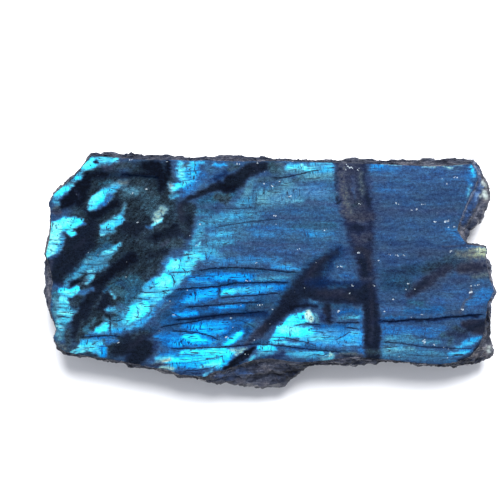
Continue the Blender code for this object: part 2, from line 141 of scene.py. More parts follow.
# The flash, from the ground up. Each stroke is its tone, how much it covers, how soft its edge is,
# and then the points it runs through: x, y and half its width there.
FLASH = (
    # The ground: denim blue to the right, lake blue in the middle, nearly black to the left.
    (HAZE, 1, 9, (0, 0, 90)),
    (COBALT, 0.9, 1.6, (-22, -8, 3), (-14, -3, 3), (-4, -3.4, 2.6), (4, -3, 1.6)),
    (LAPIS, 0.9, 2, (-25, -12, 2.4), (-12, -10.6, 1.4), (-2, -9, 2.6)),
    (COBALT, 0.95, 1.4, (-25, -17, 2.4), (-14, -15.6, 3), (-6, -14, 2)),
    (NEON, 0.9, 1, (-25, -22.4, 1.6), (-12, -21.8, 2.4)),
    (JEAN, 0.8, 3, (29, 24, 2.4), (48, 24, 2.2)),
    (JEAN, 0.7, 1, (28, 19.6, 1), (35, 19.8, 0.8)),
    (STEEL, 0.4, 1, (27.6, 22.4, 0.8), (34, 22.8, 0.8)),
    (NAVY, 0.3, 1.2, (41, 19, 0.8), (46.6, 19.6, 1)),
    (NAVY, 0.5, 0.6, (29, 18.6, 0.2), (37, 18.2, 0.25), (46, 17.4, 0.2)),
    (NAVY, 0.4, 0.6, (27, 22.4, 0.2), (33, 21.6, 0.25), (41, 20.9, 0.2)),
    (SMOKE, 0.85, 1.2, (28, 14.6, 1.2), (46, 14.8, 1)),
    (MAUVE, 0.5, 0.6, (30, 15.6, 0.3), (40, 15.2, 0.3), (46.6, 14.2, 0.3)),
    (NAVY, 0.6, 0.5, (26.6, 10.8, 0.3), (34, 10.3, 0.2)),
    (NAVY, 0.5, 0.8, (28, 7.2, 0.6), (34, 7, 0.4), (40, 7.4, 0.3)),
    (SMOKE, 0.7, 1.4, (27, 5, 1), (38, 5.2, 1), (45, 5.2, 0.6)),
    (DUSK, 0.5, 1.2, (38, 4, 1), (45, 4.8, 0.8)),
    (DUSK, 0.5, 1.4, (38, -4.6, 1), (42, -3.6, 1.2)),
    (NAVY, 0.5, 1.4, (29, 2.4, 1), (37, 2.6, 1)),
    (JEAN, 0.7, 0.8, (28, 4, 0.5), (34, 4, 0.4)),
    (DEEPSEA, 0.9, 1.6, (28.6, -0.8, 1), (36, 0.4, 1.6)),
    (NAVY, 0.6, 0.6, (29, -0.2, 0.4), (34, 0.2, 0.5)),
    (DEEPSEA, 0.9, 1.4, (28.6, -3.6, 1), (34, -3.4, 1.8)),
    (KELP, 0.5, 0.8, (29, -2.6, 0.5), (32, -2.2, 0.6)),
    (STEEL, 1, 4, (10, 13, 8)),
    (SLATE, 0.9, 3, (-14, 6, 3), (-6, 14, 4), (-2, 18, 3)),
    (FOG, 1, 1.6, (-1.4, 18.4, 2), (6, 18.8, 2.2), (4, 21.6, 1.8)),
    (FOG, 1, 1, (8, 23.8, 1.1), (15, 23.8, 1.2)),
    (MIST, 0.9, 1.2, (9.6, 20, 1.6), (14, 19.6, 1.5)),
    (STEEL, 0.7, 1, (15, 22, 1), (15.6, 18, 0.8)),
    (MIST, 0.6, 1.2, (1, 18, 1.2), (7, 20, 1.6)),
    (MAUVE, 0.6, 0.7, (9, 17.2, 0.4), (16.4, 16.4, 0.7)),
    (SMOKE, 0.6, 0.8, (5, 16.6, 0.5), (12, 16.4, 0.4)),
    (DENIM, 0.9, 1, (2, 14.8, 0.8), (9, 14.9, 0.7), (17, 14.4, 0.9)),
    (NAVY, 0.6, 0.6, (-2, 13.6, 0.2), (4, 13.4, 0.4), (10, 12.8, 0.3), (17, 12.6, 0.4)),
    (MAUVE, 0.5, 0.5, (1, 13.2, 0.3), (7, 13.2, 0.4)),
    (ROYAL, 0.7, 0.9, (-6, 10.6, 0.6), (3, 10.6, 0.6), (9, 9.6, 0.7)),
    (DELFT, 0.8, 0.6, (-4, 9.4, 0.6), (1, 9, 0.6)),
    (KELP, 0.6, 0.7, (6, 11, 0.4), (16, 11.2, 0.6)),
    (DELFT, 0.8, 0.6, (9.4, 8.8, 0.5), (13.6, 9.2, 0.6), (15.8, 9.4, 0.4)),
    (DENIM, 0.8, 0.6, (-2, 6.9, 0.5), (3, 7.2, 0.5), (17.4, 6.8, 0.6)),
    (MAUVE, 0.6, 0.5, (-8, 6.9, 0.2), (0, 6.6, 0.3), (9, 6.4, 0.3)),
    (JEAN, 0.8, 0.8, (-3, 5.2, 0.5), (5, 5, 0.5), (12.6, 5.2, 0.6)),
    (NAVY, 0.4, 0.4, (-4, 4.2, 0.15), (4, 4, 0.2), (11, 4, 0.15)),
    (NAVY, 0.7, 1.2, (17, 3.8, 0.8), (20, 5.4, 0.8)),
    (LAKE, 0.8, 0.9, (-17.8, 9, 1.2), (-16.6, 12, 1.4), (-9.6, 12.6, 0.7)),
    (SLATE, 0.9, 0.6, (-18.4, 14.6, 0.8), (-14, 13.8, 0.8)),
    (LAKE, 0.8, 0.8, (-14, 13.8, 0.4), (-8, 14, 0.8), (-5, 14.6, 0.4)),
    (SKY, 0.5, 0.6, (-11.6, 13.6, 0.4), (-7.6, 14, 0.5)),
    (KELP, 0.8, 0.8, (-18, 15.4, 0.4), (-14.6, 15.2, 0.4)),
    (KELP, 0.9, 0.8, (-17.4, 17.4, 0.6), (-14.4, 18, 1), (-9, 19.4, 0.8)),
    (LODEN, 0.8, 0.6, (-13, 18.6, 0.6), (-11, 16.8, 0.3), (-10.4, 19.2, 0.5)),
    (FOG, 0.8, 0.8, (-6, 18.4, 1), (-5, 21.4, 1), (-4.4, 23, 0.5)),
    (LAKE, 0.6, 0.6, (-8, 16.8, 0.6), (-5, 17.6, 0.8)),
    (MOSS, 0.6, 0.6, (-3, 22.6, 0.6), (1.6, 23.2, 0.5), (4, 24, 0.4)),
    (MOSS, 0.6, 0.5, (6.4, 22.8, 0.5), (8, 23.6, 0.4)),
    (SKY, 0.7, 0.6, (-15, 9, 0.4), (-12, 8.8, 0.7), (-9.6, 9.2, 0.6)),
    (AQUA, 0.5, 0.4, (-13.4, 8.6, 0.3), (-10.6, 9.3, 0.4)),
    (LAKE, 0.8, 0.6, (-15.6, 6.8, 0.5), (-9.6, 7.2, 0.6)),
    (JEAN, 0.8, 0.5, (-13, 5.2, 0.4), (-7.6, 5.6, 0.4)),
    (STEEL, 0.6, 0.5, (-10, 10.4, 0.3), (-5, 10.9, 0.3)),
    (NAVY, 0.5, 0.4, (-12, 5.8, 0.15), (-7, 6.1, 0.2)),
    (AZURE, 0.9, 0.5, (0.8, 1.2, 0.4), (3.4, 0.9, 0.7), (7, 0.7, 0.5)),
    (FOG, 0.5, 0.4, (2.2, 0.8, 0.15), (2.8, 1.9, 0.2), (5.4, 1.6, 0.2)),
    # The dark ground on the left.
    (PEAT, 1, 3, (-44, 22, 7), (-38, 8, 12), (-42, -14, 8)),
    (PEAT, 1, 1.6, (-30, 22, 6), (-28, 10, 5), (-30, 4, 3)),
    (PITCH, 0.9, 0.8, (-21.6, 16.6, 1.4), (-21.8, 11, 1.4), (-26, 8, 1.6), (-32, 10, 2), (-36, 11, 1.4)),
    (PITCH, 0.9, 1, (-54, 0, 3), (-52, 6, 2.6), (-47, 9, 3)),
    (PEAT, 1, 0.9, (-19.6, 16, 1), (-20, 12, 1)),
    (PITCH, 0.9, 0.9, (-20.4, 13.4, 0.8), (-20.6, 9, 1)),
    (LODEN, 0.7, 0.9, (-21.6, 15.6, 0.7), (-23, 13.4, 1), (-21, 9.6, 1)),
    (UMBER, 0.6, 0.7, (-22.6, 16.4, 0.6), (-22, 12.6, 0.6)),
    (LODEN, 1, 0.8, (-27, 7, 1), (-22.6, 7, 1.4)),
    (LODEN, 0.9, 0.8, (-32, 9, 0.8), (-26, 12, 0.8)),
    (BARK, 0.5, 0.6, (-27.4, 6.4, 0.4), (-25.6, 7.4, 0.5)),
    (LODEN, 0.7, 0.8, (-33, 7.6, 0.8), (-29, 6, 1)),
    (PITCH, 0.8, 0.8, (-30, 4, 0.8), (-26, 4.6, 0.5)),
    # The dark corner above the left end.
    (BARK, 0.8, 0.8, (-41.6, 25.8, 0.5), (-37.4, 26.6, 0.8)),
    (LODEN, 0.9, 0.7, (-38.6, 26.2, 0.6), (-35, 26.6, 0.9)),
    (BARK, 0.8, 0.4, (-38, 28.4, 0.4), (-26, 28, 0.4)),
    (INK, 1, 0.7, (-31.6, 26.2, 0.9), (-28.4, 25.6, 1.9), (-26.8, 22.6, 1.5), (-27.4, 20.4, 0.7)),
    (INK, 1, 0.7, (-45.6, 23.6, 0.6), (-43, 24.2, 0.9), (-36.6, 24, 0.4), (-30, 24, 0.5)),
    (KELP, 0.6, 0.6, (-39.6, 24, 0.4), (-37.6, 24.2, 0.3)),
    (INK, 1, 0.6, (-45.6, 22.6, 1.1), (-48.6, 20, 1.5), (-50.8, 17, 1.5), (-53.4, 15, 0.5)),
    (INK, 1, 0.7, (-45.4, 22, 0.6), (-47, 20, 1.5), (-47.8, 17.4, 1.2)),
    (UMBER, 0.6, 0.4, (-48.6, 20.2, 0.4), (-48, 18.4, 0.3)),
    (KELP, 0.8, 0.6, (-42.4, 21.8, 0.4), (-40, 22.4, 0.5)),
    (FOG, 1, 0.7, (-39.4, 21.4, 0.7), (-36.6, 22, 0.8)),
    (OLIVE, 0.8, 0.5, (-37.4, 22.2, 0.4), (-35.6, 22.4, 0.5)),
    (MOSS, 1, 0.8, (-36.2, 18.6, 1.1), (-34.4, 20, 1.5), (-31, 20.4, 0.9)),
    (MOSS, 0.8, 0.9, (-31.4, 16.6, 0.8), (-30.4, 20, 0.8)),
    (FOG, 0.8, 0.6, (-36, 20.4, 0.5), (-33.4, 19.6, 0.8)),
    (LODEN, 0.9, 0.8, (-33, 22.4, 0.6), (-30.4, 21.2, 0.8), (-29, 18, 0.8)),
    (FOG, 0.8, 0.4, (-37, 14.4, 0.3), (-35.8, 16.6, 0.5)),
    (INK, 1, 0.6, (-46.4, 15, 0.4), (-44.4, 13.6, 1), (-41, 15.4, 0.9), (-38.2, 16.8, 0.9)),
    (PITCH, 1, 1, (-44.6, 12, 1.4), (-46, 7, 2.4), (-50.4, 2.2, 2.4), (-52.8, -1.5, 1.9)),
    (UMBER, 0.5, 0.6, (-46, 8.4, 0.6), (-48.6, 6, 0.6)),
    (BARK, 0.9, 0.5, (-54.4, 2.6, 0.4), (-56, -1, 0.7), (-55.2, -5, 0.5)),
    (BARK, 0.9, 0.4, (-55, 14.8, 0.4), (-52.6, 14.4, 0.4)),
    (KELP, 0.8, 0.6, (-42, 8, 0.5), (-40.4, 8.2, 0.4)),
    # The cyan strip on the cut corner.
    (AQUA, 1, 0.5, (-43.5, 27.4, 1), (-38.6, 28, 0.8)),
    (LAKE, 0.8, 0.5, (-43, 26.4, 0.4), (-40, 27, 0.5)),
    (CYAN, 1, 0.4, (-46.6, 25.8, 1), (-44.8, 26.8, 1.5)),
    (GLARE, 0.5, 0.5, (-46.4, 26, 0.6), (-44.4, 27.8, 0.5)),
    (LAKE, 1, 0.4, (-48.8, 22.9, 0.7), (-47.3, 24, 0.8), (-46.8, 25, 0.6)),
    (FOG, 0.9, 0.5, (-50.6, 22, 0.6), (-49.4, 22, 0.5)),
    (AQUA, 1, 0.5, (-49.8, 21.2, 0.6), (-51.4, 20.6, 0.9), (-53.2, 19.2, 1.2)),
    (CYAN, 0.9, 0.4, (-48.6, 23.4, 0.4), (-47.6, 23.2, 0.4)),
    (CYAN, 0.8, 0.4, (-50.6, 21, 0.5), (-52.8, 19.4, 0.8)),
    (LAKE, 1, 0.5, (-53.4, 17.8, 0.9), (-53.2, 16.6, 0.7)),
    (OLIVE, 0.7, 0.4, (-54, 15.6, 0.4), (-52.6, 15.2, 0.3)),
    (INK, 1, 0.35, (-43.7, 27.4, 0.4), (-43.1, 27, 0.3)),
    # The cyan blob inside it, and its tail.
    (AQUA, 1, 0.8, (-41.6, 19.6, 1), (-39, 20.6, 0.9)),
    (SKY, 1, 0.8, (-39.8, 20, 0.9), (-37.8, 21.2, 0.7)),
    (ROYAL, 1, 0.6, (-43.6, 15.2, 0.3), (-41.6, 16.8, 0.6), (-39.8, 18.4, 0.7)),
    (CYAN, 1, 0.35, (-44, 16.8, 1.1), (-43.6, 17.6, 1.5), (-42.2, 18.6, 1.2)),
    (AQUA, 1, 0.4, (-45, 15.7, 0.7), (-43.6, 15.8, 0.5)),
    (GLARE, 0.6, 0.5, (-44.6, 17.4, 0.8), (-42.6, 18.9, 0.8)),
    # The cyan patch on the left edge.
    (MOSS, 0.7, 0.6, (-49.6, 14.6, 0.3), (-46.8, 14.8, 0.3)),
    (ROYAL, 1, 0.4, (-47.2, 12.2, 0.7), (-46.4, 12, 0.4)),
    (SKY, 0.9, 0.5, (-51.8, 8.6, 0.5), (-53, 5, 0.7)),
    (CYAN, 1, 0.35, (-53.4, 11.2, 1.4), (-50.5, 12, 1.7), (-47.8, 12.5, 0.9)),
    (GLARE, 1, 0.4, (-53.6, 10.8, 1.4), (-54, 7.5, 1.6), (-54.9, 4.8, 1.2), (-55.8, 3.4, 0.6)),
    (GLARE, 0.6, 0.5, (-51.6, 11.8, 1), (-50, 12.8, 0.7)),
    (CYAN, 1, 0.35, (-50.4, 10.6, 1.1), (-49.4, 9.4, 0.9)),
    (TEAL, 0.7, 0.3, (-55.6, 6.6, 0.12), (-52.8, 6.3, 0.15)),
    (ROYAL, 0.7, 0.3, (-54.6, 3.2, 0.25), (-53.2, 3.8, 0.3)),
    # The light blue patch to its right.
    (AQUA, 1, 0.5, (-41.4, 10.8, 1), (-39.4, 11.8, 1.2), (-37.4, 13.2, 1)),
    (LAKE, 1, 0.5, (-42, 9.8, 0.7), (-39.6, 10, 0.8)),
    (SKY, 0.8, 0.4, (-38.6, 12, 0.5), (-37, 12.9, 0.5)),
    (LAKE, 0.8, 0.4, (-37, 14.2, 0.4), (-36.2, 15.4, 0.3)),
    (GLARE, 0.8, 0.25, (-42.2, 9.3, 0.25), (-41.6, 9.4, 0.2)),
    # The streaked band that runs down to the left edge.
    (KELP, 1, 1, (-40.6, 6.4, 1), (-44, 3.6, 1.4), (-47.6, 0, 1.3), (-51, -2.6, 0.8)),
    (LAKE, 0.85, 0.6, (-40.4, 4, 1), (-43, 2.4, 1.5), (-46.4, 0.6, 1), (-48.8, -1.8, 0.4)),
    (FOG, 0.7, 0.5, (-44.6, 3, 0.5), (-46.2, 2, 0.5)),
    (AQUA, 0.9, 0.5, (-37.6, 6.6, 0.4), (-39.6, 5.2, 0.7), (-41.4, 4.2, 0.5)),
    (GLARE, 0.7, 0.25, (-38.9, 5.5, 0.2), (-40.6, 4.7, 0.35)),
    (LAKE, 0.9, 0.5, (-41, 1.4, 0.7), (-44.4, -0.2, 0.8), (-46.2, -2.8, 0.6)),
    (LAKE, 0.8, 0.5, (-47.6, 0.2, 0.4), (-49.4, -1.9, 0.4), (-51.4, -3.8, 0.6)),
    (GLARE, 0.9, 0.3, (-45, -0.4, 0.25), (-44, -0.2, 0.3)),
    (AQUA, 0.8, 0.4, (-44.4, -1.6, 0.4), (-45.8, -3, 0.3)),
    (MILK, 0.6, 0.25, (-46.6, -3.3, 0.2), (-45.8, -3.3, 0.2)),
    (LODEN, 0.9, 0.4, (-46, -2, 0.3), (-47.6, -3.6, 0.4)),
    (INK, 1, 0.4, (-47.8, -2.4, 0.4), (-49.6, -3.2, 0.7)),
    (ROYAL, 0.8, 0.4, (-47.4, -5.6, 0.6), (-45.2, -5.8, 0.6)),
    (STEEL, 0.8, 0.5, (-46.8, -7.2, 0.5), (-45.8, -6.4, 0.4)),
    (TEAL, 1, 0.5, (-53.8, -6, 1), (-52.2, -10, 2.2), (-52.6, -16, 1.2)),
    (FOG, 0.6, 0.4, (-53.4, -7.4, 0.5), (-52.8, -11, 0.8), (-52.8, -15.6, 0.7)),
    (KELP, 0.8, 0.4, (-52.8, -9, 0.3), (-50, -9, 0.3)),
    (AQUA, 1, 0.6, (-51.6, -6.4, 1.1), (-51.2, -9, 1.4), (-50.8, -11.2, 1.3)),
    (CYAN, 1, 0.35, (-52.4, -5, 0.7), (-50.2, -5.5, 1), (-48.2, -4.8, 0.8)),
    (GLARE, 0.6, 0.3, (-51.4, -5.6, 0.4), (-48.6, -5.2, 0.3)),
    (TEAL, 1, 0.4, (-54.2, -6.2, 0.4), (-53.2, -6, 0.4)),
    (GLARE, 0.7, 0.4, (-52, -7, 0.6), (-51, -7.4, 0.6)),
    (FOG, 1, 0.4, (-54, -7.8, 0.6), (-52.6, -8.6, 0.5)),
    (TEAL, 0.9, 0.3, (-53.4, -9.3, 0.2), (-49.6, -9.2, 0.3)),
    (LODEN, 0.9, 0.4, (-49.6, -7.8, 0.5), (-48, -8.2, 0.4)),
    (AQUA, 1, 0.4, (-52.4, -10.4, 0.7), (-50.2, -10.4, 0.9)),
    (GLARE, 0.8, 0.4, (-52, -10.4, 0.7), (-50, -10.6, 0.7)),
    (AQUA, 0.9, 0.4, (-52.4, -8.2, 0.4), (-50.4, -8.2, 0.5)),
    (LAKE, 0.9, 0.4, (-49, -10.4, 0.6), (-47.6, -9.4, 0.4)),
    (AQUA, 0.9, 0.4, (-51.6, -12.2, 0.6), (-49.8, -12, 0.6)),
    (FOG, 1, 0.4, (-53.8, -10.4, 0.4), (-53.2, -12.2, 0.7)),
    (AQUA, 1, 0.4, (-52.8, -12.4, 0.4), (-52.6, -14.6, 0.6)),
    (MILK, 0.7, 0.3, (-53.6, -13.8, 0.3), (-51.8, -14.1, 0.25)),
    (FOG, 1, 0.5, (-53, -15.8, 0.8), (-52.8, -16.8, 0.6)),
    (OLIVE, 0.8, 0.5, (-53.2, -18.2, 0.6), (-51, -19.2, 0.7)),
    # The dark band below it.
    (INK, 1, 0.8, (-34.6, 3.4, 1.4), (-38.6, 0.6, 1.2), (-43.2, -3.4, 1.2), (-46, -8.6, 1.4)),
    (PITCH, 1, 0.7, (-43.4, -5, 1.6), (-43.4, -8, 2), (-41, -9.4, 1.2), (-41.4, -4.6, 0.8)),
    (PITCH, 1, 0.7, (-46, -9.5, 1.4), (-48.6, -13.4, 1.2), (-48.8, -16, 0.8)),
    (LODEN, 0.9, 0.6, (-50.6, -15.2, 0.6), (-50.4, -18.4, 0.8)),
    (LODEN, 0.7, 0.5, (-48, -17.6, 0.6), (-47, -12.4, 0.5)),
    (LODEN, 0.8, 0.5, (-42.4, -6.4, 0.4), (-44, -9.4, 0.5)),
    (KELP, 0.9, 0.5, (-39.6, -3.6, 0.5), (-41.4, -5, 0.5)),
    (ROYAL, 0.8, 0.5, (-46.8, -5.4, 0.5), (-44.6, -4.8, 0.5)),
    # The dull teal above the bright chain.
    (KELP, 0.9, 1.2, (-38.6, -3, 1), (-34, -3, 2), (-36, -8, 1.4)),
    (DEEPSEA, 0.7, 0.8, (-37.4, -3, 0.8), (-35.6, -4.4, 0.6)),
    (TEAL, 0.7, 0.6, (-38.8, -5.2, 0.8), (-34, -6.2, 0.8)),
    (FOG, 0.8, 0.3, (-40.4, -5.2, 0.12), (-39.4, -5.2, 0.15)),
    (AQUA, 0.9, 0.4, (-40, -5.4, 0.3), (-38.9, -6.8, 0.4)),
    (LAKE, 1, 0.5, (-40.4, -9.6, 0.7), (-38, -9.8, 0.6)),
    (STEEL, 0.8, 0.6, (-37.8, -8.6, 0.6), (-35.4, -9.6, 0.7)),
    (TEAL, 1, 0.5, (-44, -12.2, 0.5), (-45.8, -15, 0.9)),
    (LODEN, 0.8, 0.4, (-44.6, -11.6, 0.3), (-44.4, -13.4, 0.4)),
    # The bright chain, from the middle of the stone down to the lower left corner.
    (LAKE, 1, 0.7, (-17.6, 9.6, 0.8), (-19.2, 7, 0.8), (-18.6, 4.6, 1)),
    (GLARE, 0.9, 0.3, (-17.4, 7.2, 0.15), (-18.5, 6, 0.25)),
    (TEAL, 0.7, 0.5, (-20.4, 6, 0.5), (-17.4, 5.2, 0.3)),
    (LAKE, 1, 0.8, (-17.4, 5.2, 1.2), (-13.8, 4.6, 0.9)),
    (SKY, 0.6, 0.6, (-16.6, 3.4, 0.6), (-12, 3.4, 0.5)),
    (AQUA, 1, 0.5, (-20.6, 4.2, 0.8), (-17.6, 3.4, 1)),
    (LODEN, 0.8, 0.9, (-28.4, 1, 0.6), (-31.4, -1.6, 0.6)),
    (KELP, 0.8, 0.9, (-31.8, -3.2, 0.6), (-34, -6, 0.7)),
    (DELFT, 0.8, 0.6, (-24.8, 3.2, 0.5), (-26.4, 1.6, 0.4)),
    (AQUA, 1, 0.8, (-19.6, 3, 1.8), (-23, 0, 2.6), (-27, -4, 2.6), (-31, -7.6, 2.4)),
    (LAKE, 1, 0.7, (-31, -7.6, 2.4), (-35, -11.4, 2.2), (-40, -14, 1.7)),
    (SKY, 0.7, 0.6, (-30.6, -3.6, 0.8), (-29, -7, 1), (-32, -8.4, 0.8)),
    (DELFT, 0.9, 0.6, (-25.6, -6.6, 0.5), (-28, -8.6, 0.5)),
    (SMOKE, 0.6, 0.5, (-24.4, -8, 0.5), (-26.8, -10, 0.5)),
    (FOG, 0.9, 0.2, (-29.6, -9.8, 0.12), (-28.6, -8.4, 0.15)),
    (FOG, 0.9, 0.2, (-27.4, -9.5, 0.1), (-24.8, -7.8, 0.12)),
    (SKY, 0.9, 0.5, (-31.6, -4.4, 0.4), (-28.6, -1.8, 0.5)),
    (AQUA, 0.95, 0.5, (-24.6, 2.6, 0.6), (-21, 2, 1), (-22.4, 0.6, 0.8)),
    (CYAN, 1, 0.5, (-25.4, 1, 0.6), (-23.6, 2.2, 1), (-23, 0.8, 0.8)),
    (GLARE, 0.6, 0.5, (-23.4, 2.4, 0.7), (-23.8, 1, 0.7)),
    (AQUA, 0.9, 0.5, (-20.6, -0.6, 0.8), (-22.6, -1.2, 0.8), (-23, -3.2, 0.6)),
    (CYAN, 1, 0.35, (-28, -2.9, 1.2), (-26.4, -2.6, 1.7), (-25.6, -1.8, 1.4)),
    (GLARE, 0.6, 0.6, (-27.2, -3.2, 0.9), (-25.8, -2.4, 1)),
    (AQUA, 1, 0.4, (-32, -6.3, 0.5), (-29, -6.1, 0.8), (-27.4, -5.6, 0.4)),
    (SKY, 0.8, 0.4, (-30.4, -7.8, 0.5), (-28.6, -7.2, 0.4)),
    (AZURE, 1, 0.6, (-33, -13.6, 0.8), (-30.4, -11.6, 0.7), (-28.8, -9.6, 0.4)),
    (CYAN, 1, 0.35, (-34.6, -11.4, 1.4), (-33.2, -10, 2), (-31.4, -8.9, 1.5)),
    (GLARE, 0.5, 0.7, (-33.6, -11.2, 1), (-32.4, -9, 0.9)),
    (AQUA, 0.9, 0.5, (-37, -12, 0.5), (-35.4, -13, 0.6)),
    (TEAL, 0.8, 0.5, (-39, -11.8, 0.6), (-37.6, -11.6, 0.4)),
    (MOSS, 0.7, 0.35, (-39.4, -13, 0.4), (-38.4, -13.6, 0.4)),
    (DELFT, 1, 0.5, (-45, -15.7, 0.4), (-40.6, -15.6, 0.5), (-37.6, -15.2, 0.7)),
    (AZURE, 1, 0.5, (-39, -15.2, 0.5), (-34, -14.2, 0.6)),
    (ROYAL, 0.9, 0.5, (-37, -16, 0.5), (-33.4, -14.9, 0.5)),
    (LAKE, 1, 0.5, (-41.4, -12, 0.5), (-40.8, -13.4, 0.6)),
    (CYAN, 1, 0.35, (-43.2, -15, 0.7), (-41.6, -14.4, 1.1), (-40.9, -13.6, 0.7)),
    (VIVID, 1, 0.5, (-46, -16.4, 0.2), (-43, -16.6, 0.4), (-38.4, -16.6, 0.4)),
    (SKY, 1, 0.5, (-46.6, -18.6, 1.1), (-43, -19, 1.8), (-42.4, -20.4, 1)),
    (AQUA, 1, 0.5, (-48, -19.6, 0.7), (-45.4, -19, 0.8), (-44, -18.2, 0.6)),
    (ELECTRIC, 0.9, 0.5, (-41.6, -19.4, 0.9), (-41.8, -21.2, 0.7)),
    (ROYAL, 1, 0.5, (-40.6, -17.6, 0.8), (-38.2, -17.6, 0.4)),
    (SKY, 1, 0.4, (-47, -17.6, 0.4), (-43.4, -17.7, 0.7)),
    (AQUA, 1, 0.4, (-43.8, -19.2, 0.5), (-46, -19.6, 0.6), (-48.4, -20.6, 0.4)),
    (GLARE, 1, 0.25, (-47.4, -18.8, 0.2), (-49.8, -20.5, 0.25)),
    (GLARE, 0.9, 0.25, (-45.4, -19.4, 0.2), (-48.6, -20.9, 0.25)),
    (LODEN, 0.8, 0.4, (-50.4, -20, 0.4), (-48.6, -19, 0.3)),
    (PITCH, 1, 0.9, (-38.2, -20, 1.4), (-33.4, -18.8, 2.4), (-30.6, -19.4, 1.8), (-34, -22.4, 2)),
    (NIGHT, 0.9, 0.9, (-35.6, -16.8, 1), (-30.4, -15.6, 1.4)),
    (LAPIS, 0.6, 0.8, (-34.4, -14.9, 0.4), (-29, -14.6, 0.8)),
    (LODEN, 0.7, 0.7, (-34.4, -16.4, 0.7), (-31, -15.6, 0.7)),
    (UMBER, 0.5, 0.7, (-35, -19, 0.8), (-32, -17, 0.6)),
    (NAVY, 0.8, 0.7, (-28.8, -15.4, 0.7), (-28.6, -19, 0.7)),
    # The cyan block on the upper edge.
    (AZURE, 0.9, 0.7, (-20, 25, 2.4), (-20.4, 21.6, 1.6)),
    (AQUA, 0.9, 0.5, (-22.2, 27, 0.8), (-22.4, 24.6, 1), (-21.6, 22.8, 0.6)),
    (SKY, 0.9, 0.5, (-19.6, 26.8, 0.7), (-19.2, 24.6, 0.8), (-19, 22.8, 0.5)),
    (ROYAL, 0.8, 0.7, (-16.6, 23.6, 1), (-18.6, 20.8, 0.9), (-21.8, 19, 0.6)),
    (STEEL, 0.9, 0.7, (-16, 26, 0.8), (-14.4, 24.8, 1)),
    (GLARE, 0.7, 0.4, (-23, 25.6, 0.4), (-22.2, 24.2, 0.5)),
    (INK, 1, 0.4, (-25.4, 27, 0.7), (-25.2, 24, 0.6)),
    (AQUA, 0.8, 0.4, (-19.6, 27.4, 0.3), (-16.6, 27.4, 0.35)),
    (LODEN, 0.6, 0.4, (-22, 26.2, 0.3), (-20.4, 27, 0.3)),
    (FOG, 1, 0.5, (-25.2, 21.4, 0.7), (-25, 19.8, 0.5)),
    (CREAM, 0.7, 0.5, (-25, 21.3, 0.4), (-24.8, 20.4, 0.4)),
    (CYAN, 1, 0.4, (-24.2, 20.4, 0.6), (-23.4, 21.2, 0.9), (-21.9, 21.6, 0.8)),
    (GLARE, 0.5, 0.4, (-24.2, 20.6, 0.4), (-22.6, 21.4, 0.5)),
    (LAKE, 0.9, 0.5, (-25, 18.6, 0.4), (-23.2, 18.8, 0.5)),
    (AQUA, 0.9, 0.5, (-22, 21.8, 0.6), (-20.8, 22.4, 0.6)),
    (LAKE, 0.9, 0.5, (-25, 18.4, 0.5), (-23.6, 18.8, 0.4)),
    (DENIM, 0.9, 0.7, (-15, 23.2, 0.8), (-12.6, 24.2, 0.8)),
    (ABYSS, 0.8, 0.6, (-13.4, 22.8, 0.6), (-10.6, 25, 0.6)),
    (DENIM, 0.9, 0.5, (-17.6, 20.4, 0.3), (-15, 21.6, 0.4)),
    (AZURE, 1, 0.35, (-14, 26.6, 0.45), (-10.8, 26.4, 0.45)),
    (MOSS, 0.8, 0.5, (-9.6, 26.8, 0.5), (-8, 26, 0.5)),
    # The yellow-green patch.
    (MOSS, 0.9, 0.7, (-30.4, 14.6, 0.9), (-28.8, 18.4, 0.8)),
    (MOSS, 1, 0.6, (-29.4, 13.6, 0.8), (-27, 15.6, 1.3), (-25.4, 16, 0.5)),
    (LICHEN, 1, 0.5, (-28.8, 13, 0.8), (-27, 15.2, 1.2)),
    (ROYAL, 0.9, 0.4, (-30.8, 11.2, 0.3), (-29.4, 11.2, 0.3)),
    (GLARE, 1, 0.3, (-29.5, 11.7, 0.3), (-27.2, 12.7, 0.4)),
    (MILK, 0.8, 0.3, (-28.8, 12.3, 0.25), (-27.4, 13, 0.25)),
    (INK, 1, 0.4, (-28.8, 8.6, 0.6), (-27.6, 9.3, 0.5)),
    (INK, 0.9, 0.4, (-26.2, 10.4, 0.5), (-25.4, 9.4, 0.3)),
    (INK, 0.9, 0.4, (-24.6, 10.4, 0.4), (-23.6, 11.4, 0.4)),
    (INK, 0.8, 0.4, (-27.4, 12.2, 0.15), (-25.4, 11.8, 0.25)),
    # The dark diagonal from the upper edge.
    (
        PITCH, 1, 0.6,
        (1, 26.4, 0.8), (-1.6, 26.2, 1.2), (-5, 25.6, 1.5), (-7.6, 23.2, 1.6), (-9.8, 22.4, 1.6),
    ),
    (INK, 0.9, 0.6, (-10.4, 23.2, 0.7), (-7.6, 22.4, 1)),
    (
        PITCH, 1, 0.5,
        (-8, 22, 1.4), (-11, 20.6, 1), (-13.6, 20.8, 0.8), (-16, 19.8, 0.8), (-20.4, 18.2, 0.6),
    ),
    (INK, 1, 0.8, (-12.6, 21.8, 0.7), (-10.8, 20.6, 1.2), (-9, 20.8, 1)),
    (LODEN, 0.9, 0.8, (-13.4, 18.6, 0.6), (-10.8, 18.4, 0.7)),
    (MOSS, 1, 0.8, (0.3, 26.6, 0.9), (1, 25, 0.7)),
    (OLIVE, 0.5, 0.5, (1.8, 26.6, 0.5), (3, 26.8, 0.4)),
    (MILK, 0.8, 0.3, (7.6, 26.9, 0.2), (8.8, 26.4, 0.25), (9, 25.4, 0.2)),
    (LODEN, 0.9, 0.6, (-9.8, 25.4, 0.5), (-8.4, 26, 0.4)),
    (UMBER, 0.6, 0.5, (-3.4, 25.6, 0.4), (-4, 26.6, 0.4)),
    (LODEN, 0.5, 0.4, (-7.4, 20.6, 0.3), (-6.4, 21.8, 0.3)),
    # The light strip under the upper edge.
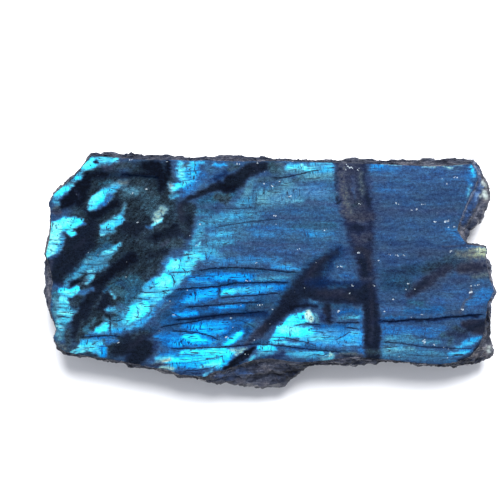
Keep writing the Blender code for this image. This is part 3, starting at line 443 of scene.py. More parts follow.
    (MOSS, 1, 0.8, (0.6, 25.6, 0.8), (2.6, 25.2, 1)),
    (FOG, 0.7, 0.5, (2.4, 25.4, 0.4), (3.4, 24.6, 0.4)),
    (AQUA, 1, 0.5, (4.4, 26, 0.8), (8.4, 26, 0.9)),
    (FOG, 0.9, 0.5, (4.4, 25, 0.6), (7.6, 25, 0.6)),
    (GLARE, 1, 0.3, (8, 26.6, 0.3), (8.8, 25.7, 0.35)),
    (AQUA, 1, 0.6, (9.6, 25.6, 0.8), (11, 25.4, 0.9)),
    (SKY, 0.9, 0.6, (11.4, 25.4, 0.7), (15.2, 25.6, 0.9)),
    (FOG, 0.5, 0.4, (9.6, 26, 0.4), (12.6, 25.8, 0.4)),
    (AQUA, 0.8, 0.4, (10.2, 26.8, 0.25), (15.4, 26.8, 0.3)),
    # The tall dark band: brown, olive and violet above, nearly black below, royal blue along its foot.
    (ROYAL, 0.9, 0.8, (22.6, -8.6, 0.7), (22.8, -20.4, 0.7)),
    (ROYAL, 0.8, 0.8, (28, -12.6, 0.5), (28.2, -20.4, 0.6)),
    (SMOKE, 0.9, 1.2, (26, 19, 1), (27, 14, 1.6), (26.4, 11, 1)),
    (JEAN, 0.4, 0.5, (28, 9, 0.3), (38, 9.2, 0.3), (46, 9.8, 0.4)),
    (JEAN, 0.6, 0.5, (29, 1.2, 0.3), (35, 2, 0.4), (38, 3, 0.3)),
    (STEEL, 0.5, 0.5, (-8, 8, 0.3), (0, 8.2, 0.25)),
    (NAVY, 0.4, 0.8, (4, 11.8, 0.4), (10, 11.4, 0.5), (16, 10.6, 0.5)),
    (SHADE, 1, 1, (20.4, 27, 3.9), (21, 20, 4), (22.2, 13, 4), (23.2, 7, 3), (24, 0, 2.2), (24.8, -6, 2)),
    (ASH, 1, 0.9, (18.2, 26.6, 1.3), (18.2, 21, 1.1), (19, 15, 1.3), (20.4, 13, 1)),
    (BARK, 0.65, 1, (21, 26, 2), (20.6, 22, 1.2), (21.6, 16, 2), (23, 13, 1.6)),
    (OLIVE, 0.6, 0.7, (19, 20.6, 0.4), (19.2, 17, 0.6), (20.4, 14.6, 0.4)),
    (PLUM, 0.8, 0.7, (20.9, 23.6, 0.4), (21.2, 20, 0.5)),
    (ROYAL, 0.5, 0.6, (21, 20.4, 0.3), (21.4, 18.4, 0.3)),
    (OLIVE, 0.75, 0.7, (22.8, 24.6, 0.5), (23.1, 21.6, 0.6), (23.2, 19.6, 0.4)),
    (LODEN, 0.8, 0.6, (22.4, 17.2, 0.5), (21, 16.2, 0.5)),
    (PLUM, 0.6, 0.7, (24.8, 23.6, 0.4), (25.2, 21, 0.5)),
    (PITCH, 0.7, 0.6, (24.2, 19.4, 0.4), (24.8, 16.4, 0.5)),
    (BARK, 0.8, 0.6, (22.6, 16.6, 0.5), (23.8, 16, 0.5)),
    (BARK, 0.95, 0.7, (19.8, 13, 0.6), (22.6, 13.2, 1.4), (25.4, 13.6, 0.9)),
    (PLUM, 0.5, 0.5, (22, 12, 0.5), (23.6, 11.6, 0.5)),
    (NIGHT, 0.7, 0.8, (20.4, 10.8, 0.6), (22.6, 10.4, 0.8)),
    (BARK, 0.9, 0.7, (21, 8.8, 0.7), (22.4, 7.4, 1.1), (24.6, 8.6, 1)),
    (UMBER, 0.9, 0.7, (22, 5.4, 0.7), (24.6, 4.4, 0.9), (24.8, 0.4, 0.7)),
    (SMOKE, 0.5, 0.5, (25.4, 4, 0.3), (25.6, 1.6, 0.4)),
    (NIGHT, 1, 0.6, (23.2, 2.4, 0.9), (23.8, -1, 0.8)),
    (BARK, 0.6, 0.4, (22.8, -1.8, 0.3), (25, -2.2, 0.5)),
    (NIGHT, 1, 0.9, (24.2, -4.4, 1.5), (25, -8, 2), (25.4, -14, 2.2), (25.8, -21, 2.1)),
    (UMBER, 0.8, 0.5, (24.8, -3.4, 0.4), (25.4, -8, 0.6), (25, -14, 0.4)),
    (BARK, 0.5, 0.5, (26, -12, 0.4), (25.2, -17.4, 0.5)),
    (LODEN, 0.9, 0.6, (24.6, -20.2, 0.8), (27, -20.2, 0.6)),
    (ROYAL, 0.8, 0.5, (22.5, -9, 0.25), (22.7, -20.2, 0.4)),
    (ROYAL, 0.7, 0.5, (27.9, -12.8, 0.3), (28.4, -20.2, 0.4)),
    (PITCH, 0.9, 0.3, (24.6, 8, 0.3), (25, 7.6, 0.25)),
    (PITCH, 0.9, 0.3, (16.6, 18.6, 0.2), (16.5, 16.8, 0.25), (17.3, 17.6, 0.2)),
    (INK, 0.9, 0.3, (17.7, 25.4, 0.25), (17.5, 25, 0.2)),
    (INK, 0.9, 0.3, (17.9, 23, 0.2)),
    (PITCH, 0.6, 0.4, (16.4, 20.6, 0.2), (16.5, 24.6, 0.2)),
    # The right field, above its long crack.
    (ROYAL, 0.95, 0.6, (25.4, 25.6, 0.7), (28.6, 25.6, 0.7), (32.6, 25.2, 0.3)),
    (AZURE, 0.8, 0.5, (25.4, 26, 0.3), (28.4, 26.2, 0.35)),
    (PLUM, 0.5, 0.8, (25.6, 23, 0.5), (28.6, 22.6, 0.5)),
    (ROYAL, 0.6, 0.5, (26, 20.6, 0.4), (31, 19.8, 0.4)),
    (ROYAL, 1, 0.8, (44.6, 10.6, 0.8), (46.4, 9.2, 0.9), (48, 8, 0.5)),
    (ROYAL, 0.8, 0.8, (50, 25.4, 0.9), (50, 23, 0.8)),
    (AZURE, 1, 0.35, (50.5, 25.8, 0.4), (50.9, 24, 0.6)),
    (CYAN, 0.8, 0.3, (50.3, 26.3, 0.2), (50.9, 25, 0.25)),
    (AZURE, 0.8, 0.4, (50.4, 21.6, 0.5), (49.8, 19.6, 0.6)),
    (FOG, 0.8, 0.4, (50.3, 21, 0.4), (49.6, 18.6, 0.4)),
    (SKY, 0.7, 0.3, (49, 17.2, 0.25)),
    (PEAT, 0.8, 1.4, (39, 0.4, 1.2), (44, 2, 1), (49, 1.6, 1)),
    (LODEN, 0.6, 0.8, (44, 3.4, 0.5), (47, 3.6, 0.8)),
    # The pale corner under the notch.
    (OLIVE, 0.95, 0.9, (46.6, 4.6, 0.7), (50, 3.8, 1.3)),
    (PEWTER, 1, 0.6, (50.6, 4.6, 1.3), (53.6, 4.4, 1.7)),
    (CREAM, 1, 0.6, (52, 5.1, 0.8), (53.8, 4.8, 1.3)),
    (UMBER, 0.8, 0.3, (43, 6.3, 0.1), (49, 6.6, 0.15)),
    (BARK, 1, 1, (47.6, 0.6, 1.2), (50.4, 0.8, 1.7), (54, 0.9, 1.5)),
    (UMBER, 0.8, 0.8, (47.6, 0.4, 0.7), (52, 0.6, 0.9)),
    (ASH, 0.8, 0.7, (52.6, 2.6, 0.6), (54.2, 1.6, 0.6)),
    (INK, 0.9, 0.25, (53.7, 1.1, 0.25)),
    (OLIVE, 0.7, 0.6, (50.6, -1.4, 0.4), (54.8, -1, 0.7)),
    # The dark drift below it and the blue that follows.
    (UMBER, 0.8, 1, (44.4, 0.6, 1.2), (40.4, -1.8, 1.4), (37.4, -4, 1.3), (34.4, -5.8, 0.9)),
    (PITCH, 0.6, 0.7, (39, -2.4, 0.6), (36, -5, 0.7)),
    (SMOKE, 0.9, 0.7, (42.6, -2.4, 0.8), (50, -2.2, 0.8)),
    (JEAN, 0.7, 0.8, (42, -5, 0.5), (48.6, -4.8, 0.7)),
    (JEAN, 0.9, 0.8, (40.4, -7.4, 0.7), (48, -7.4, 1.2)),
    (ROYAL, 0.9, 0.8, (50.4, -8, 1.2), (53.6, -6.2, 2), (55, -4.8, 0.8)),
    (JEAN, 0.6, 0.6, (50, -9.4, 0.6), (53, -8.6, 0.6)),
    (NAVY, 0.8, 0.5, (26.6, -7.6, 0.25), (33, -7.7, 0.25), (39, -7.2, 0.15)),
    (KELP, 0.7, 0.6, (34.6, -7.6, 0.5), (38, -8.2, 0.5)),
    (JEAN, 0.8, 0.8, (28.4, -9.8, 0.9), (33, -9.6, 0.7)),
    (COBALT, 0.7, 0.8, (34, -10, 0.8), (43, -9.4, 0.7)),
    (ASH, 0.8, 0.35, (50.2, -4.6, 0.3), (49.6, -6.6, 0.2), (48.2, -9, 0.25), (47.4, -10.6, 0.25)),
    (DUSK, 0.6, 0.5, (44, -10.6, 0.3), (48, -10.4, 0.4)),
    (COBALT, 0.8, 0.4, (28.6, -12, 0.4), (34, -11.7, 0.3)),
    (ABYSS, 0.8, 0.5, (27.4, -12.7, 0.4), (34, -12.5, 0.3), (43, -11.9, 0.35), (52, -11.2, 0.5)),
    (INK, 0.9, 0.25, (29, -12.7, 0.08), (34, -12.3, 0.14), (43, -11.8, 0.14), (52, -11, 0.25)),
    # Below the long crack.
    (ROYAL, 0.95, 0.9, (29, -14.8, 1), (40, -15.2, 1.3), (43, -14.6, 0.8)),
    (ROYAL, 0.7, 0.6, (29, -14, 0.4), (36, -14.4, 0.5)),
    (SLATE, 1, 0.8, (28.8, -17.4, 0.8), (38, -17.6, 0.9), (42, -17.8, 0.6)),
    (SLATE, 1, 0.8, (28.8, -20.4, 1.6), (38, -20.8, 1.5), (44, -21.2, 1)),
    (FOG, 0.8, 0.5, (29, -19.8, 0.7), (36, -19.6, 0.5)),
    (LAKE, 0.8, 0.5, (29.4, -16.6, 0.5), (35, -16.2, 0.5)),
    (SKY, 0.5, 0.5, (29.6, -19.2, 0.4), (33, -19.2, 0.5)),
    (STEEL, 0.8, 0.7, (36, -22.2, 0.6), (46, -22.6, 0.9)),
    (MOSS, 0.9, 0.7, (43, -16.2, 0.7), (46, -16, 0.7), (45, -18, 0.5)),
    (LODEN, 0.9, 0.7, (45.8, -14.4, 0.5), (48.4, -15.4, 0.8)),
    (SHADE, 0.9, 0.9, (44.6, -15.8, 0.6), (48.6, -16.2, 0.9)),
    (UMBER, 1, 0.8, (48.6, -13.4, 0.9), (51.4, -13.8, 1.8), (54, -14.2, 2)),
    (NIGHT, 0.7, 0.6, (49.6, -14.6, 0.6), (53.4, -13, 0.8)),
    (BARK, 0.8, 0.5, (53.8, -17, 0.6), (53, -19.4, 0.5)),
    (SKY, 1, 0.4, (46.6, -19, 0.4), (49.8, -18, 0.6), (52.4, -16.6, 0.35)),
    (AZURE, 0.8, 0.4, (48, -18.2, 0.4), (51.4, -17, 0.5)),
    (AZURE, 1, 0.4, (45, -21, 0.4), (48, -20.2, 0.8), (50.4, -19.6, 0.4)),
    (SKY, 0.8, 0.35, (45.4, -20.8, 0.25), (49.4, -20, 0.4)),
    (PITCH, 1, 0.6, (47.6, -22.6, 0.6), (51, -21.4, 1), (53, -18.4, 0.8)),
    # The middle: strips of blue between the long cracks.
    (DELFT, 0.8, 0.8, (-16, 2.6, 0.9), (-8, 2.6, 1), (2, 2.6, 0.8)),
    (LAPIS, 0.8, 0.4, (-19, -0.4, 0.3), (-12, 0.3, 0.4), (-5, 0.2, 0.35), (6, -0.6, 0.3)),
    (VIVID, 1, 0.6, (-20, -2.2, 0.7), (-13, -1.5, 1.1), (-4, -1.7, 0.9)),
    (ELECTRIC, 0.9, 0.5, (-14.6, -1.6, 0.4), (-10, -1.4, 0.8), (-6, -1.6, 0.6)),
    (SKY, 0.6, 0.5, (-19.6, -2.6, 0.4), (-15, -2.9, 0.3)),
    (LAPIS, 0.8, 0.4, (-13, -3, 0.35), (-8, -2.9, 0.3)),
    (STEEL, 0.8, 0.8, (-3, -1.4, 0.8), (5, -1.6, 0.8)),
    (LAKE, 0.8, 0.5, (-4, -2, 0.5), (4, -1.8, 0.5)),
    (LAPIS, 0.9, 0.7, (-25, -6.6, 0.9), (-21.6, -5.4, 0.6)),
    (VIVID, 1, 0.6, (-22, -7.8, 0.6), (-18.6, -6.4, 1.5), (-14, -5.6, 1.2)),
    (ELECTRIC, 1, 0.6, (-20.8, -7.6, 0.6), (-17.4, -6, 1.2), (-14.2, -5.2, 0.9)),
    (SKY, 0.8, 0.6, (-20.4, -7.6, 0.5), (-18, -7, 0.6)),
    (LAPIS, 1, 0.35, (-12.8, -4, 0.3), (-12.7, -6.4, 0.35)),
    (VIVID, 1, 0.5, (-11.4, -5, 1), (-2, -4.7, 1), (5, -4.3, 0.6)),
    (AZURE, 1, 0.5, (-9, -5, 0.9), (0.6, -4.6, 0.8)),
    (CYAN, 1, 0.4, (-11.8, -5.3, 0.6), (-9.6, -5.2, 0.8)),
    (AQUA, 0.7, 0.5, (-9.4, -5, 0.7), (-6, -4.8, 0.5)),
    (VIVID, 0.6, 0.6, (1.4, -4.6, 0.7), (3.6, -4.4, 0.5)),
    (ROYAL, 0.9, 0.6, (-12.6, -7.4, 0.4), (-4.6, -7, 0.6)),
    (VIVID, 0.95, 0.5, (-15, -9.3, 0.3), (-10, -9, 0.7), (-6.6, -8.7, 0.4)),
    (ELECTRIC, 0.8, 0.4, (-12.4, -9.2, 0.3), (-9, -8.9, 0.4)),
    (COBALT, 0.9, 0.6, (-24, -10, 0.6), (-14, -10, 0.6), (-8, -10, 0.4)),
    (ELECTRIC, 1, 0.5, (-24, -10.9, 0.5), (-20.6, -10.5, 0.8), (-18.4, -10.6, 0.5)),
    (DUSK, 0.6, 0.8, (-5, -9.6, 0.6), (1, -9, 0.8)),
    (ABYSS, 0.9, 0.7, (-25, -12.4, 0.15), (-18, -11.6, 0.3), (-10, -11, 0.5), (-1, -10.8, 0.7)),
    (INK, 0.5, 0.6, (-14, -11.4, 0.2), (-8, -11, 0.3)),
    (COBALT, 0.8, 0.7, (-27, -12.8, 0.6), (-21, -12.6, 0.3)),
    (VIVID, 1, 0.6, (-21.6, -13.8, 0.5), (-16, -13.4, 1.1), (-10, -13.4, 0.9)),
    (ELECTRIC, 1, 0.5, (-19.4, -14.2, 0.7), (-15.6, -13.8, 0.9), (-12, -13.6, 0.8)),
    (NEON, 1, 0.5, (-18.8, -14, 0.5), (-15.6, -14.5, 1), (-13.2, -15, 0.7)),
    (ELECTRIC, 1, 0.5, (-20, -14.6, 0.3), (-16, -15, 0.8), (-12, -14.8, 0.8)),
    (ELECTRIC, 0.8, 0.6, (-17.4, -15.4, 0.5), (-14.4, -15.9, 0.7), (-11, -15.4, 0.5)),
    (COBALT, 0.9, 0.8, (-9, -12.9, 0.9), (-5, -13, 0.8)),
    (TEAL, 0.6, 0.6, (-6.4, -14, 0.5), (-4, -13.6, 0.6)),
    (VIVID, 0.9, 0.8, (-28, -16.4, 0.8), (-24.4, -16.4, 1.4), (-23, -18.4, 0.8)),
    (ELECTRIC, 0.9, 0.7, (-25, -17.8, 0.6), (-18, -17, 1.7), (-14, -18.1, 0.6)),
    (NEON, 1, 0.5, (-21.8, -16.3, 0.5), (-18.8, -16.9, 1.1), (-16.4, -17.5, 0.6)),
    (DELFT, 0.8, 0.6, (-14, -16, 0.5), (-12, -17.2, 0.6)),
    (FOG, 0.7, 0.35, (-14.6, -18.4, 0.2), (-12.4, -17.2, 0.2)),
    (FOG, 0.6, 0.35, (-12.8, -16, 0.2), (-11.2, -14.9, 0.2)),
    (NEON, 1, 0.4, (-11.6, -18.6, 0.4), (-9.4, -17.2, 1), (-7.4, -15.8, 0.7)),
    (GLARE, 0.5, 0.4, (-9.8, -17.6, 0.4), (-7.8, -16, 0.4)),
    (LAPIS, 0.9, 0.5, (-5.4, -14.4, 0.5), (-6.4, -16.6, 0.4)),
    (VIVID, 0.8, 0.4, (-25, -19.9, 0.3), (-14, -19.8, 0.3)),
    # The bright drift along the lower edge.
    (VIVID, 0.9, 0.7, (-27.6, -20.8, 0.5), (-24, -20.4, 0.5)),
    (AQUA, 0.9, 0.5, (-28, -22, 0.6), (-24.4, -21.6, 0.8)),
    (CYAN, 1, 0.5, (-22, -20.2, 0.6), (-17, -20.2, 0.9), (-9, -20, 0.6)),
    (CYAN, 0.9, 0.5, (-22.6, -20.4, 0.3), (-15, -20.5, 0.7), (-10.4, -20.4, 0.8)),
    (CYAN, 0.9, 0.6, (-24, -22.2, 0.5), (-19, -22.4, 0.6), (-13, -22.2, 1.3)),
    (GLARE, 0.7, 0.5, (-17, -23.9, 0.4), (-13, -23.4, 0.7)),
    (ELECTRIC, 0.7, 0.5, (-22.6, -23.7, 0.4), (-19, -24.1, 0.5)),
    (VIVID, 0.7, 0.3, (-25, -21.2, 0.12), (-17, -21.3, 0.15)),
    (VIVID, 0.7, 0.3, (-22, -23.2, 0.12), (-15, -22.9, 0.15)),
    (LICHEN, 0.9, 0.5, (-9.8, -19.7, 0.3), (-6, -19.7, 0.5)),
    (MILK, 0.8, 0.4, (-8.6, -20.8, 0.25), (-5.8, -19.6, 0.25)),
    (ROYAL, 0.9, 0.4, (-24, -25, 0.3), (-16.6, -25, 0.3)),
    (NAVY, 0.7, 0.4, (-25, -25.6, 0.3), (-17, -25.8, 0.3)),
    (LICHEN, 0.8, 0.6, (-28.6, -23, 0.3), (-25.4, -22, 0.5)),
    (CREAM, 0.8, 0.4, (-26.8, -22.7, 0.25), (-25.4, -22, 0.35)),
    (MILK, 0.95, 0.4, (-27.6, -24.1, 0.3), (-24.6, -24.4, 0.45)),
    (UMBER, 0.9, 0.3, (-31, -23.4, 0.25), (-25, -23.3, 0.15)),
    (GLARE, 0.8, 0.4, (-16.8, -26.4, 0.3), (-14.6, -25, 0.3)),
    (NAVY, 0.9, 0.5, (-14.6, -26, 0.8), (-9, -25.6, 0.9)),
    # The dark diagonal through the middle, and the black wedge at its foot.
    (LAPIS, 0.9, 1.6, (17, 4.4, 0.8), (11, 0, 2.6), (7, -5, 3), (3, -9, 2)),
    (ABYSS, 0.8, 1.4, (17.4, 5.4, 0.7), (14.4, 2, 1.8), (11.8, -0.8, 2.6), (9.4, -4.4, 2.4)),
    (NIGHT, 0.9, 1.3, (16.6, 5, 0.3), (13.2, 2, 1.2), (10.6, -0.4, 2.1), (8, -4, 2.5), (5, -8, 2.2)),
    (UMBER, 0.7, 0.8, (13.6, 3.2, 0.4), (10.6, 0.4, 0.8), (9.6, -2.4, 0.8)),
    (KELP, 0.4, 0.6, (13.4, -1, 0.5), (14.4, 1.4, 0.4)),
    (NIGHT, 1, 0.8, (5, -8, 2), (2.2, -10.8, 1.4), (0, -13, 1.2), (-2, -15, 0.9)),
    (UMBER, 0.8, 0.6, (-1, -13.6, 0.9), (-3.4, -16, 0.9), (-6, -18.3, 0.4)),
    (DUSK, 0.7, 0.5, (-3, -16.4, 0.5), (-5.6, -17.8, 0.4)),
    (LAPIS, 0.9, 0.5, (-4.6, -18.2, 0.3), (1, -17.4, 0.3)),
    (CYAN, 0.95, 0.4, (-2.6, -19.2, 0.6), (-1, -19.2, 1), (0.8, -19.4, 0.7)),
    (LAKE, 0.95, 0.5, (-2.6, -20.6, 0.6), (0.4, -20.5, 0.6)),
    (INK, 1, 0.35, (-3.9, -19.2, 0.4), (-6, -20.8, 1), (-9, -22.8, 1), (-11.4, -24.2, 0.5)),
    (UMBER, 0.5, 0.3, (-6, -21, 0.3), (-8.4, -22.6, 0.3)),
    (AQUA, 0.9, 0.35, (-3.8, -21.2, 0.3), (-4.8, -22.2, 0.5)),
    (MILK, 0.7, 0.25, (-5, -22.8, 0.15), (-8, -24.4, 0.15)),
    (LAPIS, 0.9, 0.5, (-1.6, -21.6, 0.5), (-4, -23.6, 0.7)),
    (NAVY, 0.9, 0.5, (-7, -25.4, 0.5), (-3.6, -24.2, 0.6)),
    # The dark ground right of the diagonal.
    (ABYSS, 0.9, 1, (10, -3, 1.2), (16, -3.6, 1), (22, -3.6, 1)),
    (NIGHT, 0.95, 1.3, (10, -5.8, 1.6), (16, -6.4, 2), (22.6, -6.2, 2.3)),
    (LAPIS, 0.6, 0.6, (10, -7.8, 0.3), (13, -8.6, 0.4), (20, -9, 0.4)),
    (UMBER, 0.8, 0.8, (12, -5.4, 0.6), (17.4, -5.8, 0.9), (21, -7, 0.6)),
    (BARK, 0.4, 0.5, (14, -6.6, 0.3), (18.6, -4.8, 0.3)),
    (KELP, 0.5, 0.5, (15, -3.8, 0.3), (19.4, -4, 0.4)),
    (DENIM, 0.9, 0.6, (17, 2, 0.9), (20.8, 2.2, 0.9)),
    (JEAN, 0.5, 0.5, (17.6, 1.4, 0.4), (19.6, 1.8, 0.5)),
    (DENIM, 0.9, 0.6, (16, -1.4, 0.8), (21, -1.6, 0.9)),
    (ROYAL, 0.5, 0.5, (17.6, -1, 0.3), (20.6, -1.4, 0.5)),
    (SLATE, 0.9, 0.35, (9.8, -7.4, 0.2), (12, -7.8, 0.2)),
    (FOG, 0.5, 0.3, (16.4, 1.2, 0.15), (19, 1.2, 0.3)),
    # The cyan wedge that fades right into blue.
    (BAY, 1, 0.9, (10, -16.8, 2.1), (21, -16.8, 2.3)),
    (SKY, 0.5, 0.6, (15, -16.8, 0.6), (21, -17, 0.7)),
    (SKY, 0.9, 0.8, (8, -17, 0.9), (15, -16.8, 1)),
    (AZURE, 0.95, 0.8, (10, -15.2, 1), (15, -15.6, 0.8)),
    (
        CYAN, 1, 0.4,
        (0.6, -17.4, 0.7), (3.2, -15, 1.6), (5.8, -12.7, 1.6), (8.4, -11.7, 1.4), (10.4, -11.3, 0.8),
    ),
    (BAY, 0.9, 0.6, (13, -15.2, 0.8), (16, -15.6, 0.8)),
    (CYAN, 1, 0.6, (3.4, -15.6, 1.5), (9.8, -15.1, 1.2)),
    (AQUA, 0.9, 0.7, (10.4, -16.4, 0.7), (12.8, -16.8, 0.5)),
    (GLARE, 0.6, 0.6, (3, -14.6, 0.9), (6.4, -14.8, 1.2)),
    (AQUA, 1, 0.4, (-1, -18.4, 0.3), (3.6, -17.8, 0.6)),
    (SKY, 0.9, 0.5, (4, -18.2, 0.4), (8.6, -18.6, 0.5)),
    (INK, 1, 0.6, (5, -9.2, 0.4), (9, -8.6, 0.5), (11.8, -8.8, 0.3)),
    (MILK, 1, 0.4, (9.4, -10.6, 0.8), (10.1, -11.9, 0.9)),
    (FOG, 1, 0.5, (11.4, -10.8, 0.6), (11.8, -12.4, 0.6)),
    (NAVY, 1, 0.6, (12.8, -11, 0.5), (13.4, -12.8, 0.5)),
    (NIGHT, 1, 0.6, (14.2, -9, 0.8), (14.6, -12.4, 0.8)),
    (UMBER, 0.7, 0.4, (13.6, -9.6, 0.3), (14.4, -11, 0.3)),
    (INK, 1, 0.25, (8.3, -11.6, 0.3)),
    (OLIVE, 0.9, 0.2, (10.4, -11.4, 0.12)),
    (COBALT, 0.9, 0.6, (17, -10.8, 0.4), (19, -10, 0.6), (21.6, -10.4, 0.8)),
    (COBALT, 0.9, 0.6, (12.6, -13.7, 0.4), (17, -13.8, 0.5), (21, -13.8, 0.3)),
    (DELFT, 0.7, 0.7, (13.4, -14.8, 0.4), (20, -15, 0.5)),
    (LAKE, 0.95, 0.4, (17, -11.9, 0.3), (19, -11.8, 0.5), (21.8, -11.6, 0.6)),
    (AQUA, 0.6, 0.3, (19.6, -11.9, 0.15), (21.8, -11.6, 0.3)),
    (COBALT, 0.9, 0.4, (11, -13.4, 0.3), (17, -13.8, 0.5), (19.6, -13.6, 0.3)),
    (DELFT, 0.8, 0.35, (19, -14, 0.25), (22.2, -14.1, 0.4)),
    (AQUA, 0.7, 0.35, (20.2, -15.4, 0.25), (22, -15.5, 0.35)),
    (COBALT, 0.9, 0.4, (1.4, -19.2, 0.3), (7, -19.4, 0.3), (13, -20, 0.2)),
    (LAPIS, 0.8, 0.4, (8, -18.6, 0.2), (14, -19.8, 0.25), (20, -20.2, 0.2)),
    (LAKE, 1, 0.6, (4.6, -20.6, 0.7), (9, -21.2, 1), (12.6, -20.8, 0.8)),
    (SKY, 0.7, 0.6, (7, -20.8, 0.6), (12.4, -20.8, 0.6)),
    (SKY, 0.9, 0.4, (12.6, -20.8, 0.4), (15, -21, 0.5)),
    (FOG, 1, 0.4, (12.8, -22, 0.6), (15.4, -21.6, 0.9)),
    (AQUA, 0.7, 0.35, (13.4, -22.2, 0.3), (15.4, -22, 0.35)),
    (MILK, 0.9, 0.25, (14.8, -20.7, 0.25), (15.4, -21, 0.2)),
    (BARK, 1, 0.5, (16.8, -21.6, 0.4), (22.4, -21.4, 0.8)),
    (OLIVE, 0.8, 0.4, (17.4, -20.9, 0.3), (21.4, -20.8, 0.5)),
    (PITCH, 0.8, 0.4, (18.4, -21.2, 0.3), (20.6, -21.5, 0.3)),
    (NAVY, 0.9, 0.5, (-0.6, -21.8, 0.5), (3, -21, 0.6)),
    # Painted glints along the upper edge, and a painted highlight down the notch's edge.
    (MILK, 0.8, 0.25, (28, 26.7, 0.12), (33, 26.4, 0.14)),
    (MILK, 0.9, 0.25, (38, 26.3, 0.14), (41.6, 26.2, 0.2)),
    (MILK, 0.9, 0.25, (43, 26.4, 0.16), (45.6, 26, 0.18)),
    (MILK, 0.8, 0.25, (46.6, 26.6, 0.15), (48.4, 26.6, 0.18)),
    (MAUVE, 0.7, 0.4, (51.6, 22.6, 0.25), (48.4, 14, 0.25), (47, 11.4, 0.2)),
)

# A tone of the broken rock: how light it is, how blue, and how much pale crust lies on it.
COAL = (0.1, 0.2, 0.0)
SOOT = (0.24, 0.1, 0.0)
DRAB = (0.38, 0.0, 0.0)
STONE = (0.56, 0.05, 0.0)
DOVE = (0.62, 0.4, 0.0)
BLUESTONE = (0.62, 0.9, 0.0)
INDIGO = (0.25, 0.8, 0.0)
CHALK = (0.95, 0.1, 0.7)
SIDE = (0.36, 0.08, 0.0)  # the tone of the lower sides and the back
SIDE_LOW, SIDE_HIGH = 6.0, 14.0  # it fades out between these heights

# The broken rock's strokes, in the same way.
BREAK = (
    (DRAB, 1, 9, (0, 0, 90)),
    (SOOT, 0.9, 2, (-53, 4, 3), (-56, -2, 2.5), (-54, -10, 2)),
    (STONE, 0.8, 1, (-57.4, 0.6, 0.5), (-56, -3, 0.7), (-55.6, -7, 0.6)),
    (SOOT, 0.8, 1, (-50, -21.6, 0.8), (-30, -24.6, 0.8)),
    (SOOT, 0.9, 1, (12, -23.2, 1), (50, -23.8, 1)),
    (DRAB, 0.7, 0.6, (30, -23.4, 0.3), (44, -23.8, 0.3)),
    (COAL, 0.6, 0.9, (-44, 29, 1), (-8, 28.6, 1), (28, 28, 1)),
    (SOOT, 1, 0.9, (-30, 28, 0.8), (0, 27.8, 0.8), (50, 27.4, 0.8)),
    (DRAB, 0.8, 0.5, (31, 27.4, 0.4), (50, 27.2, 0.4)),
    # The notched end: bluish under the face, a pale ridge with painted highlight, then brown and dark.
    (SOOT, 1, 1, (49, 8, 1.4), (52, 12, 2), (54.4, 15.6, 1.6)),
    (INDIGO, 1, 0.8, (48.6, 12.4, 0.8), (50.6, 16, 1.4), (52.6, 20.6, 1.4)),
    # A painted highlight along the ridge at the face's edge.
    (DOVE, 0.8, 0.5, (48, 12.6, 0.4), (49.8, 17, 0.4), (51.8, 21.6, 0.5)),
    (BLUESTONE, 0.8, 0.5, (51.6, 16.8, 0.4), (52.4, 19.4, 0.5)),
    (STONE, 1, 0.5, (48.2, 9.6, 0.5), (50.4, 12, 0.5), (53.8, 16.6, 0.5)),
    (DOVE, 0.9, 0.8, (52.6, 25, 1), (51.8, 26.4, 0.8)),
    (BLUESTONE, 0.8, 0.6, (52.4, 23.4, 0.5), (53.4, 21, 0.6)),
    (CHALK, 1, 0.5, (54.6, 18.8, 0.6), (54.2, 20.2, 0.4)),
    (CHALK, 0.9, 0.4, (53.6, 22.4, 0.4), (54.6, 21.6, 0.3)),
    (CHALK, 0.8, 0.4, (53, 18.8, 0.4)),
    # The right edge and its lower corner.
    (STONE, 1, 1, (55, 2, 1), (56, -3, 1)),
    (SOOT, 0.9, 0.6, (53.6, 2.2, 0.6), (54.8, 0.4, 0.5)),
    (BLUESTONE, 0.9, 0.8, (55.8, -4, 0.6), (55.6, -6.4, 0.6)),
    (DOVE, 0.8, 0.6, (55.4, -8.4, 0.5), (54.8, -10.4, 0.4)),
    (COAL, 1, 0.8, (55, -9.6, 0.8), (55, -12, 1.4), (55, -15, 1.4)),
    (DRAB, 0.9, 0.8, (54.6, -16.6, 1), (54.4, -20.4, 1)),
    (STONE, 0.8, 0.6, (54.8, -18.4, 0.5), (54.4, -20, 0.5)),
    (CHALK, 0.8, 0.4, (55.6, -19.2, 0.3), (55.5, -20.6, 0.4)),
    (SOOT, 0.9, 1, (46, -24, 1), (54, -23, 0.8)),
    # The lump on the lower edge, with painted light and shade: its left facet lighter, its right facet
    # darker.
    (SOOT, 1, 1.4, (-11, -26, 1.6), (-4, -25.6, 3), (3, -25, 3)),
    (INDIGO, 0.8, 0.8, (-13, -27, 0.8), (-7, -25.8, 1.2)),
    (BLUESTONE, 0.8, 0.5, (-6.4, -26, 0.4), (-4.6, -26.2, 0.4)),
    # Painted shade on the lump's right facet, which faces away from the light.
    (COAL, 1, 0.8, (3.6, -27, 1.6), (7, -25, 1.9), (10, -23.6, 0.9)),
    # A painted highlight on the lump's upper ridge.
    (STONE, 0.9, 0.4, (0.2, -23.6, 0.3), (3.8, -22.9, 0.35)),
    # The lump's left facet lighter, as painted light.
    (DRAB, 0.8, 0.6, (-2, -24, 0.6), (1.6, -26, 0.6)),
    (SOOT, 0.8, 0.6, (15, -22.6, 0.6), (23, -22.4, 0.8)),
    (STONE, 0.7, 0.4, (17, -22, 0.3), (22, -21.8, 0.3)),
)
